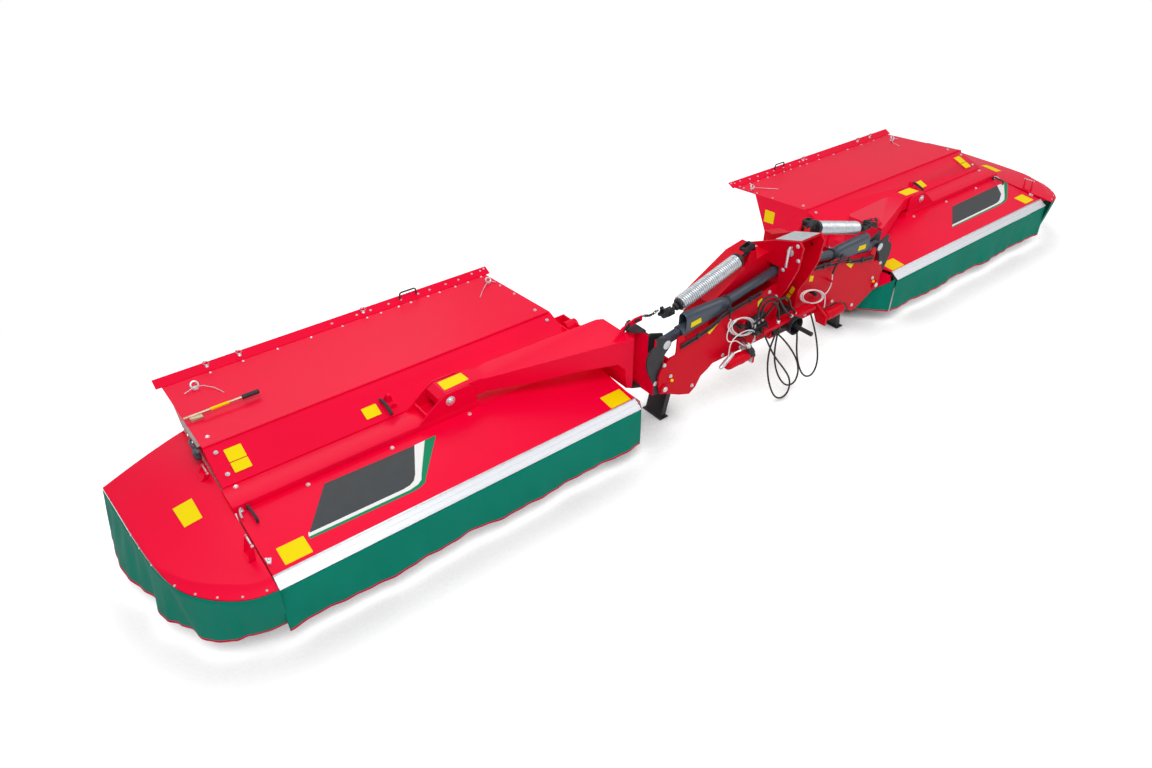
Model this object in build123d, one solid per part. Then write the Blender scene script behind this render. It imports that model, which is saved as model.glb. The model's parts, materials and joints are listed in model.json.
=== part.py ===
"""Butterfly disc mower conditioner: two mower units on folding arms at a tractor headstock.

Millimetres, +Z up, ground at z = 0, the tractor side faces -Y, the left unit lies at +X.
Everything of one side is made for the left unit and mirrored for the right one.
"""
from build123d import *
import math
import os

# ---- running gaps -------------------------------------------------------------------
SEAT = 0.3            # gap between two pieces of different bodies that bear on each other
PIN_GAP = 0.5         # radial clearance of a plain pivot pin
RUN = 6.0             # least gap between moving sheet metal

# ---- mower unit: sheets and main beam (left unit) -------------------------------------
UNIT_IN, UNIT_OUT = 1491.0, 4063.0      # inner and outer end of the hood
SHEET = 5.0                             # thickness of the pressed sheets
FRONT_Y, FRONT_Z = -811.0, 462.0        # front edge of the front guard, underside
BEAM_FRONT, BEAM_REAR = -302.0, -110.0  # cross beam in Y
BEAM_LOW, BEAM_TOP = 440.0, 530.0       # cross beam in Z
CHANNEL_TOP = 577.0                     # top of the cover channel on the outer half
CHANNEL_IN = 2425.0
CHANNEL_OUT = UNIT_OUT + 12.0           # the channel ends a little outside the hood
CREASE_Y, CREASE_Z = 171.0, 697.0       # bend line of the hood
HOOD_FRONT_Z = 582.0                    # hood sheet at the beam
REAR_Y, REAR_Z = 1065.0, 633.0          # rear edge of the deflector sheet
LIP_Y, LIP_Z = 1126.0, 668.0            # tip of the upturned rear lip
LIP_SPREAD = 38.0                       # the lip is wider than the hood at each end
WALL_LOW = 262.0                        # lower edge of the hood's side walls
WALL_REAR_LOW, WALL_REAR_TOP = 587.0, 794.0

# ---- strip and curtains ---------------------------------------------------------------
STRIP_DROP, STRIP_REACH = 50.0, 70.0    # the strip falls and reaches forward by this much
STRIP_THICK = 16.0
CURTAIN_THICK = 6.0
CURTAIN_LOW = 92.0                      # hem height over the ground
FLAP_PIN = 7.0                          # radius of the strip's hinge rod

# ---- low guard at the inner end, seen from above (x, y) ------------------------------------
INNER_PLAN = [(UNIT_IN, -809), (1457, -847), (1193, -554), (1193, -262), (UNIT_IN, -262)]

# ---- side guard -----------------------------------------------------------------------
GUARD_IN = CHANNEL_OUT + 10.0           # inner edge of the side guard and its hinge axis
GUARD_RIM_Z = 456.0                     # lower edge of its rim
GUARD_DOME = 118.0                      # how far the dome rises over the rim
GUARD_WIDE = 529.0                      # hinge axis to the rear outer corner
GUARD_OUT = GUARD_IN + GUARD_WIDE
GUARD_REAR, GUARD_FRONT = 662.0, -925.0
GUARD_HINGE_Z = 602.0
GUARD_SEAT = 60.0                       # half length of the hinge knuckle
HINGE_ROD, HINGE_GAP = 6.0, 0.3         # hinge rod radius and its clearance
LUG_T, LUG_GAP = 12.0, 10.0             # hinge lugs on the beam

# ---- cutterbar ------------------------------------------------------------------------
DISCS = 8
DISC_PITCH = 380.0
DISC_FIRST = 1470.0
DISC_Y = -420.0
DISC_LONG, DISC_WIDE = 172.0, 118.0     # half axes of the oval disc plate
BLADE_TIP = 225.0                       # radius of the blade tips
BAR_FRONT, BAR_REAR = -560.0, -300.0
BAR_LOW, BAR_TOP = 18.0, 64.0
BOSS_R, BOSS_TOP = 62.0, 80.0
SKID_FRONT = -590.0

# ---- tine rotor -----------------------------------------------------------------------
ROTOR_Y, ROTOR_Z = 212.0, 372.0
ROTOR_TUBE = 96.0                       # radius of the rotor tube
TINE_TIP = 262.0                        # radius over the tine tips
TINE_ROWS, TINE_PER_ROW = 4, 13
ROTOR_END_GAP = 30.0                    # rotor tube to side wall
ROTOR_SHAFT = 28.0

# ---- fold joint and arm ---------------------------------------------------------------
FOLD_X, FOLD_Z = 1230.0, 437.0          # fold axis, along Y
TOP_PIN_X, TOP_PIN_Z = 1212.0, 788.0    # pin of the lift cylinder on the bracket
PIN_R = 22.0
KING_X, KING_Y = 1361.0, -600.0         # upright break-back axis
KING_R, KING_PIN = 33.0, 20.0
KING_LOW, KING_TOP = 425.0, 860.0       # height of the arm's upright hub
SHELF_T = 18.0                          # bracket shelves over and under it
ARM_END_X, ARM_END_Z = 2637.0, 669.0    # unit pivot, along Y
ARM_PIN_R = 24.0
ARM_TOP = 59.0                          # top of the arm's end over its pivot
ARM_INNER = 1400.0                      # inner end of the arm's box

# ---- central frame --------------------------------------------------------------------
PLATE = 12.0                            # thickness of the frame plates
FRONT_PLATE_Y = -830.0                  # front face of the front frame plate
REAR_PLATE_Y = -712.0                   # front face of the rear frame plate
CHEEK_X, CHEEK_T = 105.0, 20.0          # headstock cheeks: inner face, thickness
BOX_OUT = 700.0                         # outer end of the closed frame box
BOX_REAR = -450.0
LINK_X, LINK_Y, LINK_Z = 482.5, -905.0, 430.0   # lower link pin
LINK_PIN_R, LINK_SPAN = 18.3, 88.0      # the pin stands out freely from its ear
TOP_LINK_Y, TOP_LINK_Z = -905.0, 1190.0         # top link bore
TOP_LINK_R = 16.1

# ---- lift cylinder --------------------------------------------------------------------
RAM_Y = -765.0
RAM_ROOT_X, RAM_ROOT_Z = 52.0, 985.0    # inner pivot, between the headstock cheeks
BARREL_R, COVER_R = 37.0, 45.0            # barrel at the headstock, cover tube of the rod
RAM_WALL_GAP = 1.0
COVER_LENGTH = 600.0                    # mouth of the cover tube to the outer pivot
NECK = 150.0                            # flat neck between the cover tube and the outer pivot
NECK_WIDE, NECK_HIGH = 44.0, 60.0
RAM_STROKE = 262.0

# ---- spring, stand --------------------------------------------------------------------
SPRING_Y = -686.0
SPRING_LOW = (1000.0, 976.0)            # x, z of the lower end
SPRING_TOP = (440.0, 1137.0)
SPRING_R = 55.0
SPRING_EYE_X, SPRING_EYE_Z = 306.0, 1175.5      # upper eye on the side frame
STAND_TOP_X, STAND_FOOT_X = 985.0, 1062.0
STAND_Y0, STAND_Y1 = -675.0, -505.0
STAND_T = 50.0
STAND_GAP = 0.4                         # leg to sleeve, each side
STAND_LEN_TOP = 330.0
STAND_LIFT = 150.0                      # how far the stand slides up

# ---- drive ----------------------------------------------------------------------------
PTO_R, PTO_Z = 17.5, 555.0
GEARBOX_FRONT, GEARBOX_REAR = -862.0, -700.0
PTO_TIP = -LIP_Y


# ---- hoses and ropes --------------------------------------------------------------------
HOSE_D = 14.0
RAIL_Y0, RAIL_Y1 = -942.0, -868.0       # hose rail across the headstock
RAIL_Z0, RAIL_Z1 = 596.0, 622.0
COIL_X, COIL_Y, COIL_Z = 507.0, -855.0, 665.0   # rope coil on its peg
COIL_R, ROPE_R = 86.0, 12.0

os.makedirs("parts", exist_ok=True)
nodes = {}


# ---- small shape helpers ---------------------------------------------------------------
def block(x0, x1, y0, y1, z0, z1):
    """Box between two corners."""
    middle = ((x0 + x1) / 2, (y0 + y1) / 2, (z0 + z1) / 2)
    return Pos(*middle) * Box(abs(x1 - x0), abs(y1 - y0), abs(z1 - z0))


def rod_x(y, z, radius, x0, x1):
    """Round bar along X."""
    return Pos((x0 + x1) / 2, y, z) * Rot(0, 90, 0) * Cylinder(radius, abs(x1 - x0))


def rod_y(x, z, radius, y0, y1):
    """Round bar along Y."""
    return Pos(x, (y0 + y1) / 2, z) * Rot(90, 0, 0) * Cylinder(radius, abs(y1 - y0))


def rod_z(x, y, radius, z0, z1):
    """Round bar along Z."""
    return Pos(x, y, (z0 + z1) / 2) * Cylinder(radius, abs(z1 - z0))


def outline(points, radius=0.0):
    """Closed flat face through the points, all its corners rounded by one radius."""
    face = make_face(Polyline(*points, close=True))
    return fillet(face.vertices(), radius) if radius else face


def slab_x(points, x0, x1, radius=0.0):
    """Plate with a (y, z) outline between two X planes."""
    return extrude(Plane.YZ.offset(x0) * outline(points, radius), amount=x1 - x0)


def slab_y(points, y0, y1, radius=0.0):
    """Plate with an (x, z) outline between two Y planes."""
    return extrude(Plane.XZ.offset(-y0) * outline(points, radius), amount=-(y1 - y0))


def slab_z(points, z0, z1, radius=0.0):
    """Plate with an (x, y) outline between two Z planes."""
    return extrude(Plane.XY.offset(z0) * outline(points, radius), amount=z1 - z0)


def bent(points, thickness):
    """Outline of a bent sheet: the points are its one face, the other lies to the left."""
    count = len(points)
    other = []
    for i in range(count):
        x, y = points[i]
        normals = []
        for a, b in ((i - 1, i), (i, i + 1)):
            if a >= 0 and b < count:
                dx, dy = points[b][0] - points[a][0], points[b][1] - points[a][1]
                length = math.hypot(dx, dy)
                normals.append((-dy / length, dx / length))
        nx, ny = sum(n[0] for n in normals), sum(n[1] for n in normals)
        reach = thickness * len(normals) / (nx * nx + ny * ny)
        other.append((x + nx * reach, y + ny * reach))
    return list(points) + other[::-1]


def bar_between(start, end, radius):
    """Round bar from one point to another."""
    line = end - start
    return Plane(origin=start, z_dir=line) * Cylinder(
        radius, line.length, align=(Align.CENTER, Align.CENTER, Align.MIN))


def keep(name, shape):
    """Remember a node."""
    nodes[name] = shape


def keep_sides(name, shape):
    """Remember a node of the left side and its mirror image for the right side."""
    nodes["left_" + name] = shape
    nodes["right_" + name] = mirror(shape, about=Plane.YZ)


# ---- mower unit -------------------------------------------------------------------------
def make_beam():
    """Cross beam with the cover channel and the two cheeks of the arm pivot."""
    beam = block(UNIT_IN + 14, UNIT_OUT - 24, BEAM_FRONT, BEAM_REAR, BEAM_LOW, BEAM_TOP)
    channel = block(CHANNEL_IN, CHANNEL_OUT, BEAM_FRONT, BEAM_REAR, BEAM_TOP, CHANNEL_TOP)
    top = ARM_END_Z + ARM_TOP
    cheek = [(CHANNEL_IN + 20, CHANNEL_TOP), (CHANNEL_IN + 20, top - 28), (CHANNEL_IN + 65, top),
             (ARM_END_X + 23, top), (ARM_END_X + 93, top - 38), (ARM_END_X + 243, CHANNEL_TOP)]
    shape = beam + channel
    for y in (BEAM_FRONT, BEAM_REAR - PLATE):
        shape += slab_y(cheek, y, y + PLATE)
    shape += block(ARM_END_X + 163, ARM_END_X + 175, BEAM_FRONT, BEAM_REAR, CHANNEL_TOP, CHANNEL_TOP + 35)
    shape += rod_y(ARM_END_X, ARM_END_Z, ARM_PIN_R, BEAM_FRONT - 14, BEAM_REAR + 14)
    lug = [(GUARD_IN - 55, CHANNEL_TOP), (CHANNEL_OUT - 1, CHANNEL_TOP), (GUARD_IN - 6, GUARD_HINGE_Z - 12),
           (GUARD_IN + 11, GUARD_HINGE_Z - 8), (GUARD_IN + 11, GUARD_HINGE_Z + 8),
           (GUARD_IN - 13, GUARD_HINGE_Z + 12), (GUARD_IN - 55, GUARD_HINGE_Z - 12)]
    middle = (BEAM_FRONT + BEAM_REAR) / 2 - 10
    for side in (-1, 1):
        y = middle + side * (GUARD_SEAT + LUG_GAP + LUG_T / 2)
        shape += slab_y(lug, y - LUG_T / 2, y + LUG_T / 2)
    reach = GUARD_SEAT + LUG_GAP + LUG_T
    return shape + rod_y(GUARD_IN, GUARD_HINGE_Z, HINGE_ROD, middle - reach, middle + reach)


def make_front_guard():
    """Sloping front sheet before the beam, its end plates and the low guard at the inner end."""
    top = [(BEAM_FRONT, BEAM_TOP), (FRONT_Y, FRONT_Z)]
    shape = slab_x(top + [(FRONT_Y, FRONT_Z - SHEET), (BEAM_FRONT, BEAM_TOP - SHEET)], UNIT_IN, UNIT_OUT)
    shape += block(UNIT_IN, UNIT_OUT, FRONT_Y, FRONT_Y + SHEET, FRONT_Z - 45, FRONT_Z)
    end = top + [(FRONT_Y, FRONT_Z - 60), (BEAM_FRONT, BEAM_LOW - 40)]
    for x in (UNIT_IN, UNIT_OUT - SHEET):
        shape += slab_x(end, x, x + SHEET)
    return shape + (slab_z(INNER_PLAN, 0, 500) & slab_y(inner_slope(), -900, 0))


def inner_slope():
    """Side view of the sheet that covers the innermost disc, falling toward the middle."""
    return [(UNIT_IN, 430), (UNIT_IN, 424), (1193, 141), (1193, 147)]


def make_inner_curtain():
    """Curtain round the low guard at the inner end."""
    (x0, y0), (x1, y1), (x2, y2) = INNER_PLAN[1:4]
    plan = [(x0, y0), (x1, y1), (x2, y2), (x2 + 6, y2), (x2 + 6, y1 + 3), (x0, y0 + 9)]
    wall = slab_z(plan, CURTAIN_LOW, 500)
    below = slab_y([(UNIT_IN, 424), (1193, 141), (1193, 0), (UNIT_IN, 0)], -900, 0)
    return wall & below


def make_hood():
    """Hood sheet behind the beam with its front flange, two side walls and the rotor bearings."""
    profile = bent([(CREASE_Y, CREASE_Z), (BEAM_REAR, HOOD_FRONT_Z), (BEAM_REAR, BEAM_LOW)], SHEET)
    shape = slab_x(profile, UNIT_IN, UNIT_OUT)
    corner = profile[-1]
    rear_y, rear_z = deflector_under(corner)
    slope = (rear_z - corner[1]) / (rear_y - corner[0])
    wall = [(BEAM_REAR, HOOD_FRONT_Z), (CREASE_Y, CREASE_Z), corner,
            (WALL_REAR_TOP, corner[1] + slope * (WALL_REAR_TOP - corner[0])),
            (WALL_REAR_LOW, WALL_LOW), (BEAM_REAR, WALL_LOW)]
    for x in (UNIT_IN, UNIT_OUT - SHEET):
        shape += slab_x(wall, x, x + SHEET)
    for x0, x1 in ((UNIT_IN + SHEET, UNIT_IN + ROTOR_END_GAP), (UNIT_OUT - ROTOR_END_GAP, UNIT_OUT - SHEET)):
        bearing = rod_x(ROTOR_Y, ROTOR_Z, ROTOR_SHAFT + 34, x0, x1)
        shape += bearing - rod_x(ROTOR_Y, ROTOR_Z, ROTOR_SHAFT + SEAT, x0 - 1, x1 + 1)
    return shape


def deflector_under(corner):
    """Rear end of the deflector's lower face, which starts at the hood's lower corner."""
    return REAR_Y, REAR_Z - SHEET


def make_rear_deflector():
    """Rear sheet with its upturned lip."""
    corner = bent([(CREASE_Y, CREASE_Z), (BEAM_REAR, HOOD_FRONT_Z), (BEAM_REAR, BEAM_LOW)], SHEET)[-1]
    sheet = [(CREASE_Y, CREASE_Z), corner, (REAR_Y, REAR_Z - SHEET), (REAR_Y, REAR_Z)]
    lip = slab_x(bent([(LIP_Y, LIP_Z), (REAR_Y - 8, REAR_Z)], -SHEET),
                 UNIT_IN - LIP_SPREAD, UNIT_OUT + LIP_SPREAD)
    return slab_x(sheet, UNIT_IN, UNIT_OUT) + lip


def make_cutterbar():
    """Cutterbar with skids, bearing bosses and its two rear supports."""
    first, last = DISC_FIRST - 130, DISC_FIRST + (DISCS - 1) * DISC_PITCH + 130
    profile = [(BAR_FRONT, 44), (BAR_FRONT + 24, BAR_LOW), (BAR_REAR - 10, BAR_LOW),
               (BAR_REAR, 34), (BAR_REAR, BAR_TOP), (BAR_FRONT, BAR_TOP)]
    shape = slab_x(profile, first, last)
    skid = [(SKID_FRONT, 46), (BAR_FRONT + 20, 0), (BAR_REAR - 30, 0), (BAR_REAR - 20, BAR_LOW + 2),
            (BAR_FRONT + 30, BAR_LOW + 2), (BAR_FRONT + 6, 44), (SKID_FRONT + 6, 56)]
    for i in range(DISCS):
        x = DISC_FIRST + i * DISC_PITCH
        shape += slab_x(skid, x - 150, x + 150)
        shape += rod_z(x, DISC_Y, BOSS_R, BAR_TOP - 2, BOSS_TOP)
    for x in (UNIT_IN + 40, UNIT_OUT - 90):
        shape += block(x, x + 50, BAR_REAR - 10, -125, 34, BAR_TOP)
        shape += block(x, x + 50, -180, -125, 34, BEAM_LOW)
    return shape


def make_disc(index):
    """Oval cutting disc with its cap and two blades; neighbours stand a quarter turn apart."""
    low = BOSS_TOP + SEAT
    plate = extrude(Ellipse(DISC_LONG, DISC_WIDE), amount=9)
    cap = Pos(0, 0, 9) * Cone(78, 46, 20, align=(Align.CENTER, Align.CENTER, Align.MIN))
    hub = Cylinder(BOSS_R - 6, 12, align=(Align.CENTER, Align.CENTER, Align.MAX))
    blade = block(DISC_LONG - 50, BLADE_TIP, -22, 22, -4, 0)
    disc = plate + cap + hub + blade + Rot(0, 0, 180) * blade
    turn = 90 * (index % 2)
    return Pos(DISC_FIRST + index * DISC_PITCH, DISC_Y, low + 12) * Rot(0, 0, turn) * disc


def make_rotor():
    """Conditioner rotor: tube, shaft ends and rows of tines."""
    x0, x1 = UNIT_IN + ROTOR_END_GAP + 4, UNIT_OUT - ROTOR_END_GAP - 4
    shape = rod_x(ROTOR_Y, ROTOR_Z, ROTOR_TUBE, x0, x1)
    shape += rod_x(ROTOR_Y, ROTOR_Z, ROTOR_SHAFT, UNIT_IN + SHEET + SEAT, UNIT_OUT - SHEET - SEAT)
    step = (x1 - x0 - 160) / (TINE_PER_ROW - 1)
    tine = block(-11, 11, -16, 16, ROTOR_TUBE - 6, TINE_TIP)
    for row in range(TINE_ROWS):
        turn = 360 / TINE_ROWS * row
        for i in range(TINE_PER_ROW):
            x = x0 + 60 + i * step + 40 * (row % 2)
            shape += Pos(x, ROTOR_Y, ROTOR_Z) * Rot(turn, 0, 0) * tine
    return shape


def make_drive_housing():
    """Angle gearbox on the inner wall with its input hub, and the belt case down to the rotor."""
    shape = block(1372, UNIT_IN, -82, 152, 522, 640)
    shape -= block(1384, UNIT_IN - 12, -70, 140, 560, 641)
    shape += rod_x(35, 600, 46, 1350, 1450)
    case = [(-40, 522), (120, 522), (ROTOR_Y + 90, ROTOR_Z), (ROTOR_Y, ROTOR_Z - 90),
            (ROTOR_Y - 90, ROTOR_Z - 20)]
    return shape + slab_x(case, UNIT_IN - 70, UNIT_IN)


def strip_profile():
    """Strip in (y, z): upper and lower end of its face, then the same on its back."""
    pin_y, pin_z = FRONT_Y - FLAP_PIN - SEAT, FRONT_Z - 2
    top = (pin_y, pin_z + 5)
    low = (pin_y - STRIP_REACH, pin_z + 5 - STRIP_DROP)
    back = bent([top, low], STRIP_THICK)[2]
    slope = STRIP_DROP / STRIP_REACH
    return top, low, back, (pin_y, back[1] + slope * (pin_y - back[0]))


def make_front_strip():
    """Aluminium strip that carries the front curtain, hinged on a rod at its upper edge."""
    strip = slab_x(strip_profile(), UNIT_IN, UNIT_OUT)
    return strip + rod_x(FRONT_Y - FLAP_PIN - SEAT, FRONT_Z - 2, FLAP_PIN, UNIT_IN, UNIT_OUT)


def make_front_curtain():
    """Plain hanging curtain below the strip's lower end."""
    _, low, back, _ = strip_profile()
    y = back[0] - CURTAIN_THICK
    top = back[1] + (low[1] - back[1]) * CURTAIN_THICK / (back[0] - low[0])
    return slab_x([(y, CURTAIN_LOW), (y, top), back, (back[0], CURTAIN_LOW)], UNIT_IN - 4, UNIT_OUT - 2)


def guard_outline(inset=0.0):
    """Plan outline of the side guard: straight rear side, long outer curve, round front."""
    with BuildSketch() as sketch:
        with BuildLine():
            a = (GUARD_IN, GUARD_FRONT + inset)
            b = guard_place(0.189, 0.0126, 0, inset)
            c = guard_place(0.480, 0.0882, inset, inset)
            d = guard_place(0.9187, 0.6018, inset, 0)
            e = guard_place(1, 0.8765, inset, -inset)
            f = (GUARD_IN, GUARD_REAR - inset)
            Polyline(f, a, b)
            ThreePointArc(b, guard_place(0.293, 0.0359, inset * 0.7, inset), c)
            ThreePointArc(c, guard_place(0.7656, 0.3056, inset, 0), d)
            Polyline(d, e, f)
        make_face()
    return sketch.sketch


def guard_place(across, along, out, back):
    """Point of the side guard's plan, in shares of its width and length, moved in and back."""
    return (GUARD_IN + across * GUARD_WIDE - out, GUARD_FRONT + along * (GUARD_REAR - GUARD_FRONT) + back)


def make_side_guard():
    """Domed side guard: a lofted shell open below, with its hinge knuckles."""
    steps = [(GUARD_WIDE * share, GUARD_RIM_Z + GUARD_DOME * rise)
             for share, rise in ((0, 0), (0, 0.288), (0.117, 0.661), (0.321, 1))]

    def dome(inset, drop):
        faces = [Plane.XY.offset(z - drop) * guard_outline(i + inset) for i, z in steps]
        body = extrude(faces[0], amount=steps[1][1] - steps[0][1])
        return body + loft([faces[1], faces[2]]) + loft([faces[2], faces[3]])

    shape = dome(0, 0) - dome(SHEET, SHEET)
    top = GUARD_RIM_Z + GUARD_DOME
    y = (BEAM_FRONT + BEAM_REAR) / 2 - 10
    y0, y1 = y - GUARD_SEAT, y + GUARD_SEAT
    shape += block(GUARD_IN + 1, GUARD_IN + 40, y0, y1, top - 3, top + 5)
    shape += slab_y([(GUARD_IN + 1, top), (GUARD_IN + 30, top), (GUARD_IN + 10, GUARD_HINGE_Z + 8),
                     (GUARD_IN - 4, GUARD_HINGE_Z + 10)], y0, y1)
    shape += rod_y(GUARD_IN, GUARD_HINGE_Z, HINGE_ROD + 8, y0, y1)
    return shape - rod_y(GUARD_IN, GUARD_HINGE_Z, HINGE_ROD + HINGE_GAP, y0 - 10, y1 + 10)


def make_side_curtain():
    """Curtain round the side guard."""
    height = GUARD_RIM_Z + 10 - CURTAIN_LOW
    outer = extrude(Plane.XY.offset(CURTAIN_LOW) * guard_outline(-7), amount=height)
    inner = extrude(Plane.XY.offset(CURTAIN_LOW) * guard_outline(0), amount=height)
    rear = GUARD_FRONT + 0.879 * (GUARD_REAR - GUARD_FRONT)
    return (outer - inner) & block(GUARD_IN + 4, GUARD_OUT + 40, GUARD_FRONT - 40, rear, 0, 1000)


# ---- arm, bracket, cylinder ---------------------------------------------------------------
def make_arm():
    """Carrier arm: box beam that narrows and sweeps back to the pivot over the beam."""
    front, rear = BEAM_FRONT + PLATE + RUN, BEAM_REAR - PLATE - RUN
    end_x, end_z, tip = ARM_END_X, ARM_END_Z, ARM_END_X + 75
    plan = [(ARM_INNER, KING_Y - 83), (end_x - 283, front), (tip + 38, front), (tip + 38, rear),
            (end_x - 377, rear - 12), (ARM_INNER + 40, KING_Y + 282), (ARM_INNER, KING_Y + 250)]
    low = KING_LOW + 15
    profile = [(ARM_INNER, KING_TOP - 12), (end_x - 763, end_z + 111), (end_x - 283, end_z + 43),
               (end_x - 237, end_z + ARM_TOP), (end_x + 23, end_z + ARM_TOP), (tip, end_z + 31),
               (tip, end_z - 29), (tip - 22, end_z - 56), (end_x - 237, end_z - 63),
               (end_x - 587, end_z - 53), (end_x - 887, end_z - 21), (ARM_INNER + 100, end_z - 17),
               (ARM_INNER + 52, end_z - 69),
               (ARM_INNER + 40, low), (ARM_INNER, low)]
    arm = slab_z(plan, low - 40, 1000) & slab_y(profile, KING_Y - 120, 0)
    x, z = ARM_INNER, KING_TOP
    fin = [(x + 140, z - 45), (x + 42, z + 48), (x - 70, z + 84), (x - 138, z + 84), (x - 138, z + 45),
           (x + 18, z + 34), (x + 18, z - 30)]
    arm += slab_y(fin, KING_Y - 6, KING_Y + 6)
    arm += block(KING_X, ARM_INNER + 2, KING_Y - KING_R + 7, KING_Y + KING_R - 7, low + 5, KING_TOP - 17)
    arm += rod_z(KING_X, KING_Y, KING_R, KING_LOW, KING_TOP)
    arm -= rod_z(KING_X, KING_Y, KING_PIN + PIN_GAP, KING_LOW - 25, KING_TOP + 20)
    arm -= rod_y(ARM_END_X, ARM_END_Z, ARM_PIN_R + PIN_GAP, -400, 0)
    return arm


def make_bracket():
    """Swing bracket: crank plates on the fold tube, back plate and the two kingpin shelves."""
    back_x0, back_x1 = KING_X - 59, KING_X - 44
    crank = [(1192, 400), (back_x1, 400), (back_x1, 868), (1290, 868), (1180, 830), (1172, 770),
             (1228, 712), (1246, 600), (1222, 500), (1188, 452)]
    shape = rod_y(FOLD_X, FOLD_Z, 46, -812, REAR_PLATE_Y - RUN)
    for y0, y1 in ((-812, -797), (-733, REAR_PLATE_Y - RUN)):
        shape += slab_y(crank, y0, y1)
        shape += rod_y(TOP_PIN_X, TOP_PIN_Z, 42, y0, y1)
    shape += block(back_x0, back_x1, -812, -500, 400, 868)
    shape -= block(back_x0 - 1, back_x1 + 1, -797, -733, 730, 900)
    x, y = KING_X, KING_Y
    shelf = [(back_x0, y - 90), (x + 8, y - 56), (x + 36, y - 28), (x + 36, y + 28), (x + 8, y + 56),
             (back_x0, y + 90)]
    high, low = KING_TOP + RUN, KING_LOW - RUN
    shape += slab_z(shelf, high, high + SHELF_T) + slab_z(shelf, low - SHELF_T, low)
    shape += rod_z(KING_X, KING_Y, KING_PIN, low - SHELF_T, high + SHELF_T)
    shape -= rod_y(FOLD_X, FOLD_Z, PIN_R + PIN_GAP, -900, -400)
    return shape


def ram_axis():
    """Inner pivot, unit direction and length of the lift cylinder."""
    start = Vector(RAM_ROOT_X, RAM_Y, RAM_ROOT_Z)
    end = Vector(TOP_PIN_X, RAM_Y, TOP_PIN_Z)
    line = end - start
    return start, line.normalized(), line.length


def make_ram_barrel():
    """Cylinder barrel with its eye on the headstock pin."""
    start, along, length = ram_axis()
    tip = start + along * (length - NECK - 40 - RAM_STROKE)
    near = start + along * 40
    eye = rod_y(RAM_ROOT_X, RAM_ROOT_Z, 44, RAM_Y - 37, RAM_Y + 37)
    shape = eye + bar_between(near, tip, BARREL_R)
    return shape - rod_y(RAM_ROOT_X, RAM_ROOT_Z, PIN_R + PIN_GAP, -900, -600)


def make_ram_rod():
    """Cylinder rod in its cover tube, with a flat neck and the eye at the bracket's top pivot."""
    start, along, length = ram_axis()
    mouth = start + along * (length - COVER_LENGTH)
    back = start + along * (length - NECK)
    shape = bar_between(mouth, back, COVER_R)
    shape -= bar_between((mouth - along * 1), (back - along * 40), BARREL_R + RAM_WALL_GAP)
    neck = Plane(origin=back - along * 5, x_dir=(0, 1, 0), z_dir=along) * Box(
        NECK_WIDE, NECK_HIGH, NECK + 5, align=(Align.CENTER, Align.CENTER, Align.MIN))
    eye = rod_y(TOP_PIN_X, TOP_PIN_Z, 38, RAM_Y - NECK_WIDE / 2, RAM_Y + NECK_WIDE / 2)
    pin_bore = rod_y(TOP_PIN_X, TOP_PIN_Z, PIN_R, -900, -600)
    return shape + neck + eye - pin_bore


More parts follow.
